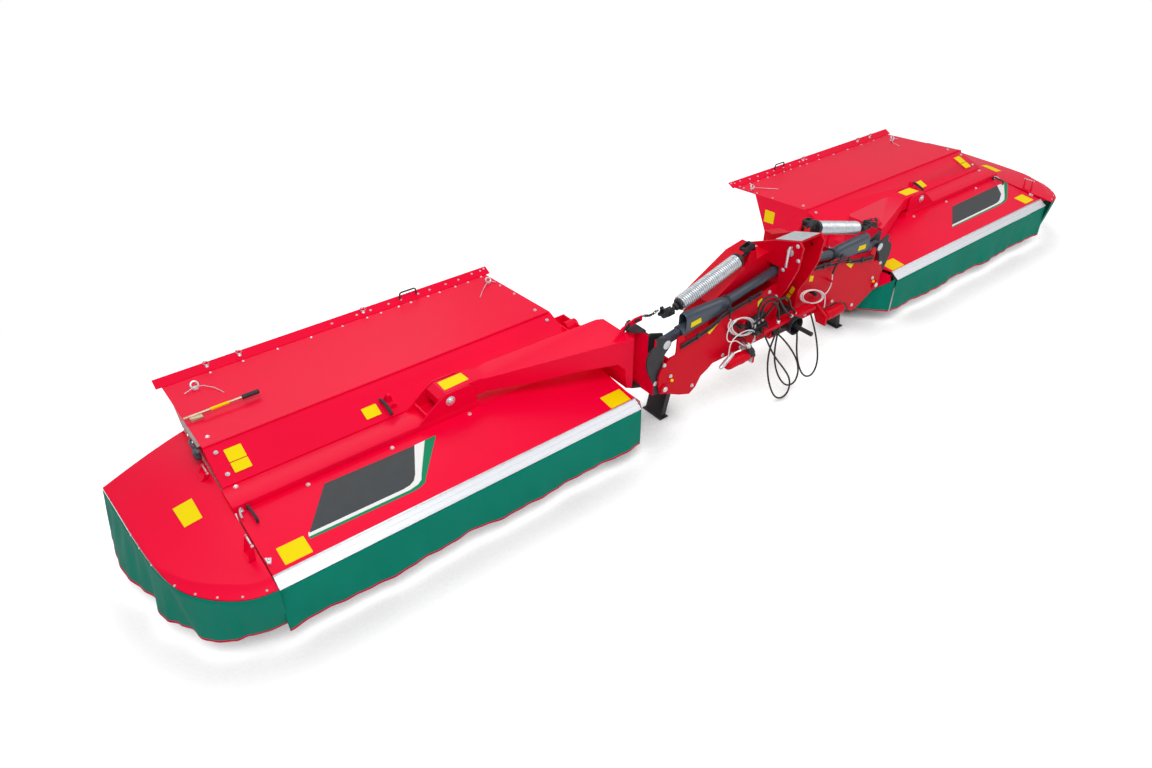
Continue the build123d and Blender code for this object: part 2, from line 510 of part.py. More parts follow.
# ---- central frame --------------------------------------------------------------------------
def make_side_frame():
    """Side frame: front plate, closed box near the headstock, rear strip to the fold pin, link ears."""
    inner = CHEEK_X + CHEEK_T
    plate = [(inner, 905), (1092, 755), (1092, 684), (1186, 680), (1222, 648), (1268, 608), (1290, 560),
             (1286, 470), (1262, 400), (1216, 385), (1069, 309), (963, 269), (904, 307), (857, 385),
             (788, 419), (745, 449), (inner, 449)]
    shape = slab_y(plate, FRONT_PLATE_Y, FRONT_PLATE_Y + PLATE)
    box = [(inner, 449), (inner, 1120), (300, 1090), (BOX_OUT, 880), (BOX_OUT, 449)]
    shape += slab_y(box, REAR_PLATE_Y, BOX_REAR)
    strip = [(BOX_OUT, FOLD_Z + 60), (FOLD_X, FOLD_Z + 60), (FOLD_X, FOLD_Z - 60), (BOX_OUT, FOLD_Z - 20)]
    shape += slab_y(strip, REAR_PLATE_Y, REAR_PLATE_Y + PLATE)
    shape += rod_y(FOLD_X, FOLD_Z, 60, REAR_PLATE_Y, REAR_PLATE_Y + PLATE)
    shape += block(inner, 620, FRONT_PLATE_Y, REAR_PLATE_Y, 449, 461)
    shape += rod_y(FOLD_X, FOLD_Z, PIN_R, FRONT_PLATE_Y - 12, REAR_PLATE_Y + PLATE + 12)
    shape += rod_y(FOLD_X, FOLD_Z, 38, FRONT_PLATE_Y - 12, FRONT_PLATE_Y)
    sleeve = block(STAND_TOP_X - 60, STAND_TOP_X + 60, REAR_PLATE_Y + PLATE, STAND_Y1 + 20, 300, 425)
    shape += sleeve - stand_leg(STAND_GAP)
    ear = [(LINK_Y - 45, LINK_Z - 45), (LINK_Y - 45, LINK_Z + 40), (FRONT_PLATE_Y, LINK_Z + 110),
           (FRONT_PLATE_Y, LINK_Z + 20), (LINK_Y + 40, LINK_Z - 45)]
    ear_x = LINK_X - LINK_SPAN / 2
    shape += slab_x(ear, ear_x - 22, ear_x)
    shape += rod_x(LINK_Y, LINK_Z, LINK_PIN_R + 14, ear_x - 34, ear_x)
    shape += rod_x(LINK_Y, LINK_Z, LINK_PIN_R, ear_x, ear_x + LINK_SPAN)
    shape += rod_x(LINK_Y, LINK_Z, LINK_PIN_R - 4, ear_x + LINK_SPAN, ear_x + LINK_SPAN + 24)
    ear_z = SPRING_EYE_Z
    seat = [(SPRING_EYE_X - 62, 1080), (SPRING_EYE_X - 26, ear_z + 20), (SPRING_EYE_X + 14, ear_z + 24),
            (SPRING_EYE_X + 26, ear_z), (SPRING_EYE_X + 62, 1050)]
    for y in (SPRING_Y - 27, SPRING_Y + 15):
        shape += slab_y(seat, max(y, REAR_PLATE_Y), y + 12)
    shape += rod_y(SPRING_EYE_X, ear_z, 12, SPRING_Y - 27, SPRING_Y + 27)
    peg = COIL_Z + COIL_R - ROPE_R - 9 - SEAT
    return shape + rod_y(COIL_X, peg, 9, COIL_Y - ROPE_R - 14, FRONT_PLATE_Y)


def stand_leg(clear=0.0):
    """The slanting leg of a parking stand, optionally grown by a clearance."""
    half = STAND_T / 2 + clear
    top_z = STAND_LEN_TOP + (STAND_LIFT if clear else 0)
    lean = (STAND_FOOT_X - STAND_TOP_X) / STAND_LEN_TOP
    low_x, top_x = STAND_FOOT_X - lean * 6, STAND_FOOT_X - lean * top_z
    leg = [(low_x - half, 6), (top_x - half, top_z), (top_x + half, top_z), (low_x + half, 6)]
    return slab_y(leg, STAND_Y0 - clear, STAND_Y1 + clear)


def make_stand():
    """Parking stand: leg and foot plate."""
    foot = block(STAND_FOOT_X - 42, STAND_FOOT_X + 42, STAND_Y0 - 18, STAND_Y1 + 14, 0, 8)
    return stand_leg() + foot


def make_headstock():
    """Headstock: two cheeks, the column between them, the cylinder pins and the hose rail."""
    cheek = [(BOX_REAR, 420), (BOX_REAR, 1010), (-522, 1123), (-747, 1225), (-963, 1292), (-1003, 1254),
             (-986, 1073), (-923, 906), (-860, 780), (-840, 420)]
    window = block(-200, 200, RAM_Y - 62, RAM_Y + 62, 882, 1040)
    shape = block(-CHEEK_X, CHEEK_X, -700, BOX_REAR, 420, 880)
    for x in (-CHEEK_X - CHEEK_T, CHEEK_X):
        shape += slab_x(cheek, x, x + CHEEK_T) - window
    shape += block(-CHEEK_X, CHEEK_X, -540, BOX_REAR, 880, 1000)
    shape += slab_x(bent([(-747, 1223), (-963, 1290)], PLATE), -CHEEK_X, CHEEK_X)
    shape += block(-CHEEK_X, CHEEK_X, -840, -700, 420, 440)
    for y in (RAM_Y - 57, RAM_Y + 43):
        shape += block(-CHEEK_X, CHEEK_X, y, y + 14, 860, 1070)
    for side in (-1, 1):
        shape += rod_y(side * RAM_ROOT_X, RAM_ROOT_Z, PIN_R, RAM_Y - 65, RAM_Y + 57)
        shape += block(side * CHEEK_X, side * (CHEEK_X + CHEEK_T), RAIL_Y1, -840, RAIL_Z0, RAIL_Z1)
    shape += block(-335, 262, RAIL_Y0, RAIL_Y1, RAIL_Z0, RAIL_Z1)
    for route in HOSES.values():
        shape += glands(route)
    return shape - rod_x(TOP_LINK_Y, TOP_LINK_Z, TOP_LINK_R, -300, 300)


def make_gearbox():
    """Central gearbox with the tractor drive stub."""
    body = block(-CHEEK_X, CHEEK_X, GEARBOX_FRONT, GEARBOX_REAR, 450, RAIL_Z0 + 20)
    body += rod_y(0, PTO_Z, 36, GEARBOX_FRONT - 60, GEARBOX_FRONT)
    return body + rod_y(0, PTO_Z, PTO_R, PTO_TIP, GEARBOX_FRONT)


def make_springs():
    """The left coil spring as a plain body with end caps, rods and eyes."""
    start = Vector(SPRING_TOP[0], SPRING_Y, SPRING_TOP[1])
    end = Vector(SPRING_LOW[0], SPRING_Y, SPRING_LOW[1])
    along = (end - start).normalized()
    upper = Vector(SPRING_EYE_X, SPRING_Y, SPRING_EYE_Z)
    lower = end + along * 84
    spring = bar_between(start, end, SPRING_R)
    for low, high in ((start - along * 18, start), (end, end + along * 18)):
        spring += bar_between(low, high, SPRING_R + 3)
    spring += bar_between(upper, start, 12) + bar_between(end, lower, 12)
    for eye in (upper, lower):
        spring += rod_y(eye.X, eye.Z, 25, SPRING_Y - 13, SPRING_Y + 13)
        spring -= rod_y(eye.X, eye.Z, 12 + SEAT, SPRING_Y - 20, SPRING_Y + 20)
    return spring


# ---- hoses and ropes -------------------------------------------------------------------------
HOSES = {  # name: points (x, z) from gland to gland, y at the ground, y gained per unit of height
    "hose_one": ([(-306, 572), (-262, 462), (-205, 352), (-124, 240), (-62, 134), (-86, 42), (-170, 12),
                  (-252, 50), (-296, 150), (-310, 270), (-290, 390), (-236, 490), (-150, 572)], -1088, 0.285),
    "hose_two": ([(-88, 572), (-142, 462), (-178, 345), (-172, 225), (-126, 118), (-59, 51), (31, 43),
                  (86, 108), (83, 208), (20, 330), (-80, 462), (-190, 572)], -1046, 0.28),
    "hose_three": ([(64, 572), (66, 450), (40, 325), (50, 190), (104, 84), (206, 58), (282, 138),
                    (292, 272), (272, 430), (232, 572)], -1084, 0.29),
}


def hose_points(route):
    """The route's points in space."""
    flat, ground_y, gain = route
    return [(x, ground_y + gain * z, z) for x, z in flat]


def glands(route):
    """Short sleeves above both ends of a hose, in line with it."""
    points = [Vector(*p) for p in hose_points(route)]
    shape = None
    for end, inner in ((points[0], points[1]), (points[-1], points[-2])):
        sleeve = bar_between(end, end + (end - inner).normalized() * 36, HOSE_D / 2 + 4)
        shape = sleeve if shape is None else shape + sleeve
    return shape


def corner_radii(points):
    """Largest even radii for a route: 0.45 of the shorter run over the tangent of half the turn."""
    radii = []
    for a, b, c in zip(points, points[1:], points[2:]):
        first, second = Vector(*b) - Vector(*a), Vector(*c) - Vector(*b)
        turn = math.radians(first.get_angle(second))
        radii.append(0.45 * min(first.length, second.length) / math.tan(turn / 2))
    return radii


def tube(name, points, diameter):
    """Round tube along straight runs joined by tangent arcs."""
    radii = corner_radii(points)
    runs = [(Vector(*b) - Vector(*a)).length for a, b in zip(points, points[1:])]
    print(name, "radii", [round(r) for r in radii], "runs", [round(r) for r in runs])
    path = FilletPolyline(*points, radius=radii)
    section = Plane(origin=path @ 0, z_dir=path % 0) * Circle(diameter / 2)
    solid = sweep(section, path=path)
    print(name, "volume", round(solid.volume), "length", round(path.length),
          "ratio", round(solid.volume / (path.length * math.pi * diameter ** 2 / 4), 4))
    return solid


def main():
    for name, make in (("beam", make_beam), ("front_guard", make_front_guard), ("hood", make_hood),
                       ("rear_deflector", make_rear_deflector), ("cutterbar", make_cutterbar),
                       ("tine_rotor", make_rotor), ("drive_housing", make_drive_housing),
                       ("front_strip", make_front_strip), ("front_curtain", make_front_curtain),
                       ("inner_curtain", make_inner_curtain),
                       ("side_guard", make_side_guard), ("side_curtain", make_side_curtain),
                       ("arm", make_arm), ("bracket", make_bracket), ("ram_barrel", make_ram_barrel),
                       ("ram_rod", make_ram_rod), ("side_frame", make_side_frame),
                       ("stand", make_stand)):
        keep_sides(name, make())
    for i in range(DISCS):
        keep_sides("disc_" + str(i + 1), make_disc(i))
    keep_sides("rope", Pos(COIL_X, COIL_Y, COIL_Z) * Rot(90, 0, 0) * Torus(COIL_R, ROPE_R))
    keep("headstock", make_headstock())
    keep("gearbox", make_gearbox())
    spring = make_springs()
    keep("springs", Compound([spring.solid(), mirror(spring, about=Plane.YZ).solid()]))
    for name, route in HOSES.items():
        keep(name, tube(name, hose_points(route), HOSE_D))
    for name, shape in nodes.items():
        export_step(shape, "parts/" + name + ".step")


main()
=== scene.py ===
# Looks of the disc mower conditioner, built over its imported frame. Metres, +Z up, tractor side at -Y.
import json
import math
import bmesh
import bpy
from mathutils.bvhtree import BVHTree
from mathutils import Matrix, Vector

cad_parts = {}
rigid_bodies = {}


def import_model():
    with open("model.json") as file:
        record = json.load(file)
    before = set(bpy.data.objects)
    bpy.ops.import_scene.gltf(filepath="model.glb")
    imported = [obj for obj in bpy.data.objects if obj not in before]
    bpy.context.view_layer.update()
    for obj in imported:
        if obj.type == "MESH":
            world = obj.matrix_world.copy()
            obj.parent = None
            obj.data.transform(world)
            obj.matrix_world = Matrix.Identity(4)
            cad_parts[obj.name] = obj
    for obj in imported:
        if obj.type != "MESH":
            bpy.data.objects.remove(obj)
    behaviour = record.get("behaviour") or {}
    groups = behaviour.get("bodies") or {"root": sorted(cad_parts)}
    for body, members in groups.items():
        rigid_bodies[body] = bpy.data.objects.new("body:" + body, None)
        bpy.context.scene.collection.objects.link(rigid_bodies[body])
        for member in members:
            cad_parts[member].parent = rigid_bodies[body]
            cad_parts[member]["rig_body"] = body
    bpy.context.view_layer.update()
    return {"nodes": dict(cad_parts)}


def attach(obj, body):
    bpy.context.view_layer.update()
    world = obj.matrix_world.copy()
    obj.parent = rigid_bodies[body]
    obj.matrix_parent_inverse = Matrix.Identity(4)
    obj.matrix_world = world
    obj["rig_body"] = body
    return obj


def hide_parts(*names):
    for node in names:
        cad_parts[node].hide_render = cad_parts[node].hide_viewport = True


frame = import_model()
cadNodes = frame["nodes"]
sides = (("left", 1), ("right", -1))
print("frame loaded:", len(cadNodes), "nodes")


# camera
cameraSettings = {"place": (-4.582, -4.125, 3.848), "yaw": -37.89, "pitch": 54.12, "roll": -0.09, "lens": 25.47}
cameraData = bpy.data.cameras.new("camera")
cameraData.lens = cameraSettings["lens"]
cameraData.sensor_width = 36
cameraData.clip_end = 200
camera = bpy.data.objects.new("camera", cameraData)
yaw, pitch, roll = (Matrix.Rotation(math.radians(cameraSettings[key]), 4, axis)
                    for key, axis in (("yaw", "Z"), ("pitch", "X"), ("roll", "Z")))
camera.matrix_world = Matrix.Translation(cameraSettings["place"]) @ (yaw @ pitch) @ roll
bpy.context.scene.collection.objects.link(camera)
bpy.context.scene.camera = camera


# materials
def finishMaterial(name, color, metallic=0.0, roughness=0.35, shift=0.06, patch=3.0, coat=0.0, coatRoughness=0.08,
                   grain=400.0, grainDepth=0.0003, stretch=(1, 1, 1), sheen=0.0, specular=0.5, roughSpread=0.08):
    material = bpy.data.materials.new(name)
    material.use_nodes = True
    tree = material.node_tree
    shader = tree.nodes["Principled BSDF"]
    shader.inputs["Metallic"].default_value = metallic
    shader.inputs["Coat Weight"].default_value = coat
    shader.inputs["Coat Roughness"].default_value = coatRoughness
    shader.inputs["Sheen Weight"].default_value = sheen
    shader.inputs["Specular IOR Level"].default_value = specular
    place = tree.nodes.new("ShaderNodeTexCoord")
    mapping = tree.nodes.new("ShaderNodeMapping")
    mapping.inputs["Scale"].default_value = stretch
    tree.links.new(place.outputs["Object"], mapping.inputs["Vector"])
    cloud = tree.nodes.new("ShaderNodeTexNoise")
    cloud.inputs["Scale"].default_value = patch
    cloud.inputs["Detail"].default_value = 6
    tree.links.new(mapping.outputs["Vector"], cloud.inputs["Vector"])
    ramp = tree.nodes.new("ShaderNodeValToRGB")
    ramp.color_ramp.elements[0].position = 0.3
    ramp.color_ramp.elements[1].position = 0.7
    ramp.color_ramp.elements[0].color = [c * (1 - shift) for c in color] + [1]
    ramp.color_ramp.elements[1].color = [min(1, c * (1 + shift)) for c in color] + [1]
    tree.links.new(cloud.outputs["Fac"], ramp.inputs["Fac"])
    tree.links.new(ramp.outputs["Color"], shader.inputs["Base Color"])
    spread = tree.nodes.new("ShaderNodeMapRange")
    spread.inputs["To Min"].default_value = max(0.02, roughness - roughSpread / 2)
    spread.inputs["To Max"].default_value = roughness + roughSpread / 2
    tree.links.new(cloud.outputs["Fac"], spread.inputs["Value"])
    tree.links.new(spread.outputs["Result"], shader.inputs["Roughness"])
    fine = tree.nodes.new("ShaderNodeTexNoise")
    fine.inputs["Scale"].default_value = grain
    fine.inputs["Detail"].default_value = 3
    tree.links.new(mapping.outputs["Vector"], fine.inputs["Vector"])
    bump = tree.nodes.new("ShaderNodeBump")
    bump.inputs["Strength"].default_value = 0.5
    bump.inputs["Distance"].default_value = grainDepth
    tree.links.new(fine.outputs["Fac"], bump.inputs["Height"])
    tree.links.new(bump.outputs["Normal"], shader.inputs["Normal"])
    return material


def wovenMaterial(name, color, threadSize, roughness=0.5, sheen=0.2, shift=0.08, specular=0.5):
    material = finishMaterial(name, color, roughness=roughness, shift=shift, patch=2.2, sheen=sheen,
                              specular=specular)
    tree = material.node_tree
    shader = tree.nodes["Principled BSDF"]
    place = tree.nodes["Texture Coordinate"]
    height = None
    for direction in ("X", "Z"):
        wave = tree.nodes.new("ShaderNodeTexWave")
        wave.bands_direction = direction
        wave.inputs["Scale"].default_value = 0.3 / threadSize
        wave.inputs["Distortion"].default_value = 0.4
        tree.links.new(place.outputs["Object"], wave.inputs["Vector"])
        if height is None:
            height = wave.outputs["Fac"]
        else:
            both = tree.nodes.new("ShaderNodeMath")
            both.operation = "MULTIPLY"
            tree.links.new(height, both.inputs[0])
            tree.links.new(wave.outputs["Fac"], both.inputs[1])
            height = both.outputs["Value"]
    weave = tree.nodes.new("ShaderNodeBump")
    weave.inputs["Strength"].default_value = 0.35
    weave.inputs["Distance"].default_value = threadSize * 0.3
    tree.links.new(height, weave.inputs["Height"])
    tree.links.new(tree.nodes["Bump"].outputs["Normal"], weave.inputs["Normal"])
    tree.links.new(weave.outputs["Normal"], shader.inputs["Normal"])
    return material


redPaint = finishMaterial("redGloss", (0.96, 0.0, 0.042), roughness=0.34, shift=0.03, patch=1.3, specular=0.13,
                          coat=0.02,
                          coatRoughness=0.15, grain=60, grainDepth=0.0003)
frameRed = finishMaterial("frameRed", (0.72, 0.0, 0.016), roughness=0.36, shift=0.05, patch=2.0, specular=0.10,
                          coat=0.02)
blackPaint = finishMaterial("blackSatin", (0.018, 0.020, 0.024), roughness=0.42, shift=0.25, patch=9, grain=250,
                            grainDepth=0.0004)
castBlack = finishMaterial("castBlack", (0.022, 0.024, 0.028), roughness=0.5, shift=0.3, patch=14, grain=90,
                           grainDepth=0.0012)
bluePaint = finishMaterial("blueGreyPaint", (0.050, 0.066, 0.095), roughness=0.34, shift=0.08, patch=6, coat=0.25,
                           grain=120, grainDepth=0.0002)
brightStrip = finishMaterial("brushedStrip", (0.84, 0.86, 0.90), metallic=0.35, roughness=0.42, shift=0.05, patch=5,
                             stretch=(0.02, 1, 1), grain=900, grainDepth=0.0004)
zincPlate = finishMaterial("zincPlate", (0.76, 0.80, 0.84), metallic=0.7, roughness=0.33, shift=0.12, patch=30,
                           grain=500, grainDepth=0.0003)
bareSteel = finishMaterial("bareSteel", (0.46, 0.47, 0.48), metallic=0.9, roughness=0.38, shift=0.18, patch=8,
                           grain=300, grainDepth=0.0005)
goldZinc = finishMaterial("goldZinc", (0.62, 0.55, 0.38), metallic=0.8, roughness=0.35, shift=0.15, patch=25)
yellowLabel = finishMaterial("yellowLabel", (1.0, 0.78, 0.0), roughness=0.5, shift=0.0, patch=20, specular=0.1)
greyLabel = finishMaterial("greyLabel", (0.062, 0.069, 0.074), roughness=0.4, shift=0.06, patch=12, specular=0.2)
greenLabel = finishMaterial("greenLabel", (0.0, 0.27, 0.125), roughness=0.4, shift=0.03, patch=12, specular=0.15)
whiteLabel = finishMaterial("whiteLabel", (0.92, 0.93, 0.92), roughness=0.4, shift=0.02, patch=12)
galvanised = finishMaterial("galvanised", (0.36, 0.31, 0.30), metallic=0.6, roughness=0.45, shift=0.22, patch=9,
                            grain=200)
hoseRubber = finishMaterial("hoseRubber", (0.016, 0.016, 0.017), roughness=0.45, shift=0.2, patch=40, grain=700,
                            grainDepth=0.0003)
gripRubber = finishMaterial("gripRubber", (0.028, 0.030, 0.034), roughness=0.6, shift=0.15, patch=30, grain=600,
                            grainDepth=0.0006)
ropeWhite = wovenMaterial("ropeWhite", (0.82, 0.83, 0.85), 0.0022, roughness=0.7)
clothGreen = wovenMaterial("curtainGreen", (0.0, 0.230, 0.158), 0.0016, roughness=0.5, sheen=0.0, specular=0.08)
clothRed = wovenMaterial("hemRed", (0.74, 0.0, 0.060), 0.0016, roughness=0.5, sheen=0.0, specular=0.1)
print("materials made")


# making pieces
def newPiece(name, points, faces, materials, body, smooth=None, slot=None):
    mesh = bpy.data.meshes.new(name)
    mesh.from_pydata([tuple(p) for p in points], [], faces)
    work = bmesh.new()
    work.from_mesh(mesh)
    bmesh.ops.recalc_face_normals(work, faces=work.faces)
    work.to_mesh(mesh)
    work.free()
    piece = bpy.data.objects.new(name, mesh)
    bpy.context.scene.collection.objects.link(piece)
    for material in (materials if isinstance(materials, (list, tuple)) else [materials]):
        mesh.materials.append(material)
    if smooth is not None:
        mesh.shade_smooth()
        mesh.set_sharp_from_angle(angle=math.radians(smooth))
    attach(piece, body)
    return piece


def softenEdges(piece, width, segments=2, angle=35):
    bevel = piece.modifiers.new("softEdges", "BEVEL")
    bevel.width = width
    bevel.segments = segments
    bevel.limit_method = "ANGLE"
    bevel.angle_limit = math.radians(angle)
    bevel.harden_normals = True
    piece.data.shade_smooth()
    piece.data.set_sharp_from_angle(angle=math.radians(angle))
    return piece


def loftRings(rings, closeRing=True, capEnds=True):
    points, faces = [], []
    count = len(rings[0])
    for ring in rings:
        points.extend(ring)
    last = count if closeRing else count - 1
    for r in range(len(rings) - 1):
        for i in range(last):
            j = (i + 1) % count
            faces.append((r * count + i, r * count + j, (r + 1) * count + j, (r + 1) * count + i))
    if capEnds and closeRing:
        faces.append(tuple(range(count)))
        faces.append(tuple(range((len(rings) - 1) * count, len(rings) * count)))
    return points, faces


def sweepRound(path, radius, sides=10):
    # round rod along points, its ring carried along without twist
    path = [Vector(p) for p in path]
    rings = []
    along = (path[1] - path[0]).normalized()
    across = along.orthogonal().normalized()
    for i, point in enumerate(path):
        ahead = path[min(i + 1, len(path) - 1)] - path[max(i - 1, 0)]
        ahead.normalize()
        across = (across - ahead * across.dot(ahead)).normalized()
        up = ahead.cross(across)
        size = radius[i] if isinstance(radius, (list, tuple)) else radius
        rings.append([point + (across * math.cos(a) + up * math.sin(a)) * size
                      for a in (2 * math.pi * k / sides for k in range(sides))])
    return loftRings(rings)


def joinParts(parts):
    points, faces = [], []
    for p, f in parts:
        start = len(points)
        points.extend(p)
        faces.extend(tuple(start + i for i in face) for face in f)
    return points, faces


def prism(outlinePoints, offset):
    # flat outline pushed along one vector
    offset = Vector(offset)
    base = [Vector(p) for p in outlinePoints]
    return loftRings([base, [p + offset for p in base]])


def turned(start, direction, stations, sides=16):
    # turned part: stations are (distance, radius) along the direction
    start = Vector(start)
    direction = Vector(direction).normalized()
    across = direction.orthogonal().normalized()
    up = direction.cross(across)
    rings = []
    for distance, radius in stations:
        rings.append([start + direction * distance + (across * math.cos(a) + up * math.sin(a)) * radius
                      for a in (2 * math.pi * k / sides for k in range(sides))])
    return loftRings(rings)


def boltParts(place, normal, size=0.011):
    # washer, hexagon head and its chamfered top
    washer = turned(place, normal, ((-0.002, size * 1.25), (0.0012, size * 1.3), (0.0024, size * 1.2)), 20)
    head = turned(place, normal, ((0.0022, size), (size * 0.62, size), (size * 0.78, size * 0.84)), 6)
    return [washer, head]


def boltPiece(name, places, body, size=0.011, material=None):
    parts = []
    for place, normal in places:
        parts.extend(boltParts(place, normal, size))
    points, faces = joinParts(parts)
    return newPiece(name, points, faces, material or zincPlate, body, smooth=30)


def mirrored(side, x, y, z):
    return Vector((side * x, y, z))


def rod(side, spots, radius, sides=12):
    # round rod through points given for one side
    return sweepRound([mirrored(side, *spot) for spot in spots], radius, sides)


def facePlate(side, plane, outline, depth):
    # flat plate that faces along Y, its outline given in X and Z
    return prism([mirrored(side, x, plane, z) for x, z in outline], (0, depth, 0))


def softCopy(nodeName, material, width=0.002, angle=35, dissolve=True, second=None, inside=None):
    # the node's own shape with its sharp edges rounded, shown in place of the node
    node = cadNodes[nodeName]
    mesh = node.data.copy()
    work = bmesh.new()
    work.from_mesh(mesh)
    bmesh.ops.remove_doubles(work, verts=work.verts, dist=0.00001)
    if dissolve:
        bmesh.ops.dissolve_limit(work, angle_limit=math.radians(0.4), verts=work.verts, edges=work.edges)
    work.to_mesh(mesh)
    work.free()
    mesh.materials.clear()
    mesh.materials.append(material)
    if second:
        mesh.materials.append(second)
        for polygon in mesh.polygons:
            polygon.material_index = 1 if inside(node.matrix_world @ polygon.center) else 0
    piece = bpy.data.objects.new(nodeName + "_soft", mesh)
    bpy.context.scene.collection.objects.link(piece)
    softenEdges(piece, width, angle=angle)
    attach(piece, node["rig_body"])
    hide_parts(nodeName)
    return piece


def surfacePlate(name, corners, normal, material, body, thick=0.0007, lift=0.0002, round_=0.0):
    normal = Vector(normal).normalized()
    base = [Vector(c) + normal * lift for c in corners]
    if round_:
        soft = []
        for i, corner in enumerate(base):
            before, after = base[i - 1], base[(i + 1) % len(base)]
            a = corner + (before - corner).normalized() * round_
            b = corner + (after - corner).normalized() * round_
            soft += [a, a.lerp(corner, 0.55).lerp(b.lerp(corner, 0.55), 0.5), b]
        base = soft
    points, faces = prism(base, normal * thick)
    return newPiece(name, points, faces, material, body)


# hoses on the headstock
hoseSettings = {
    "diameter": 0.014,
    "hose_one": ([(-306, 572), (-262, 462), (-205, 352), (-124, 240), (-62, 134), (-86, 42), (-170, 12),
                  (-252, 50), (-296, 150), (-310, 270), (-290, 390), (-236, 490), (-150, 572)], -1088, 0.285, 1.36),
    "hose_two": ([(-88, 572), (-142, 462), (-178, 345), (-172, 225), (-126, 118), (-59, 51), (31, 43), (86, 108),
                  (83, 208), (20, 330), (-80, 462), (-190, 572)], -1046, 0.28, 1.29),
    "hose_three": ([(64, 572), (66, 450), (40, 325), (50, 190), (104, 84), (206, 58), (282, 138),
                    (292, 272), (272, 430), (232, 572)], -1084, 0.29, 1.17),
}


def cordCurve(name, points, diameter, material, body):
    curve = bpy.data.curves.new(name, "CURVE")
    curve.dimensions = "3D"
    curve.resolution_u = 14
    curve.bevel_depth = diameter / 2
    curve.bevel_resolution = 4
    curve.use_fill_caps = True
    spline = curve.splines.new("NURBS")
    spline.points.add(len(points) - 1)
    for target, point in zip(spline.points, points):
        target.co = (point[0], point[1], point[2], 1)
    spline.order_u = 3
    spline.use_endpoint_u = True
    curve.materials.append(material)
    piece = bpy.data.objects.new(name, curve)
    bpy.context.scene.collection.objects.link(piece)
    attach(piece, body)
    return piece


for hoseName in ("hose_one", "hose_two", "hose_three"):
    flat, groundY, gain, hoseLength = hoseSettings[hoseName]
    route = [(x / 1000, (groundY + gain * z) / 1000, z / 1000) for x, z in flat]
    hose = cordCurve(hoseName + "_line", route, hoseSettings["diameter"], hoseRubber, "frame")
    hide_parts(hoseName)
print("hoses laid")


# curtains
curtainSettings = {"low": 0.094, "thick": 0.0028, "frontTop": 0.404, "frontPlane": -0.884,
                   "frontFrom": 1.488, "frontTo": 4.077, "frontSteps": 220, "innerSteps": 60, "innerLow": 0.092,
                   "innerCorners": ((1.4915, -0.870), (1.4575, -0.8485), (1.1925, -0.5535)), "sideTop": 0.462}


def clothPiece(name, columns, hemRows, body, nodeName):
    # columns run from the top of the cloth to its hem; the last rows are the coloured hem
    rows = len(columns[0])
    points = [p for column in columns for p in column]
    faces = []
    for c in range(len(columns) - 1):
        for r in range(rows - 1):
            a = c * rows + r
            faces.append((a, a + 1, a + rows + 1, a + rows))
    piece = newPiece(name, points, faces, [clothGreen, clothRed], body, smooth=60)
    for index, polygon in enumerate(piece.data.polygons):
        polygon.material_index = 1 if index % (rows - 1) >= rows - 1 - hemRows else 0
    thick = piece.modifiers.new("thickness", "SOLIDIFY")
    thick.thickness = curtainSettings["thick"]
    thick.offset = 0
    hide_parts(nodeName)
    return piece


def hangDepths(rows):
    # shares of the drop, with two close rows for the hem
    share = [i / (rows - 3) for i in range(rows - 2)]
    return [s * 0.952 for s in share] + [0.976, 1.0]


def frontCurtain(sideName, side):
    columns = []
    s = curtainSettings
    steps = s["frontSteps"]
    for i in range(steps + 1):
        x = s["frontFrom"] + (s["frontTo"] - s["frontFrom"]) * i / steps
        low = curtainSettings["low"] + 0.007 * math.sin(x * 5.1 + side) + 0.004 * math.sin(x * 13.7)
        column = []
        for share in hangDepths(12):
            swing = 0.009 * math.sin(x * 7.3 + 1.1 * side) + 0.0055 * math.sin(x * 17.9 + 0.6)
            swing += 0.003 * math.sin(x * 41.0 + 2.0 * share)
            z = curtainSettings["frontTop"] + (low - curtainSettings["frontTop"]) * share
            column.append(mirrored(side, x, curtainSettings["frontPlane"] + swing * share ** 1.4 - 0.006 * share, z))
        columns.append(column)
    clothPiece(sideName + "_front_cloth", columns, 2, sideName + "_flap", sideName + "_front_curtain")


def innerCurtain(sideName, side):
    corners = [Vector(corner) for corner in curtainSettings["innerCorners"]]
    columns = []
    total = sum((b - a).length for a, b in zip(corners, corners[1:]))
    steps = curtainSettings["innerSteps"]
    for i in range(steps + 1):
        left = total * i / steps
        for a, b in zip(corners, corners[1:]):
            run = (b - a).length
            if left <= run + 1e-9:
                spot = a.lerp(b, left / run)
                out = Vector((-(b - a).y, (b - a).x)).normalized()
                break
            left -= run
        if out.y > 0:
            out = -out
        top = 0.424 - (1.491 - spot.x) * 0.95 - 0.002
        column = []
        for share in hangDepths(8):
            swing = 0.005 * math.sin(i * 0.45 + side) * share
            z = top + (curtainSettings["innerLow"] - top) * share
            column.append(mirrored(side, spot.x + out.x * swing, spot.y + out.y * swing, z))
        columns.append(column)
    clothPiece(sideName + "_inner_cloth", columns, 2, sideName + "_unit", sideName + "_inner_curtain")


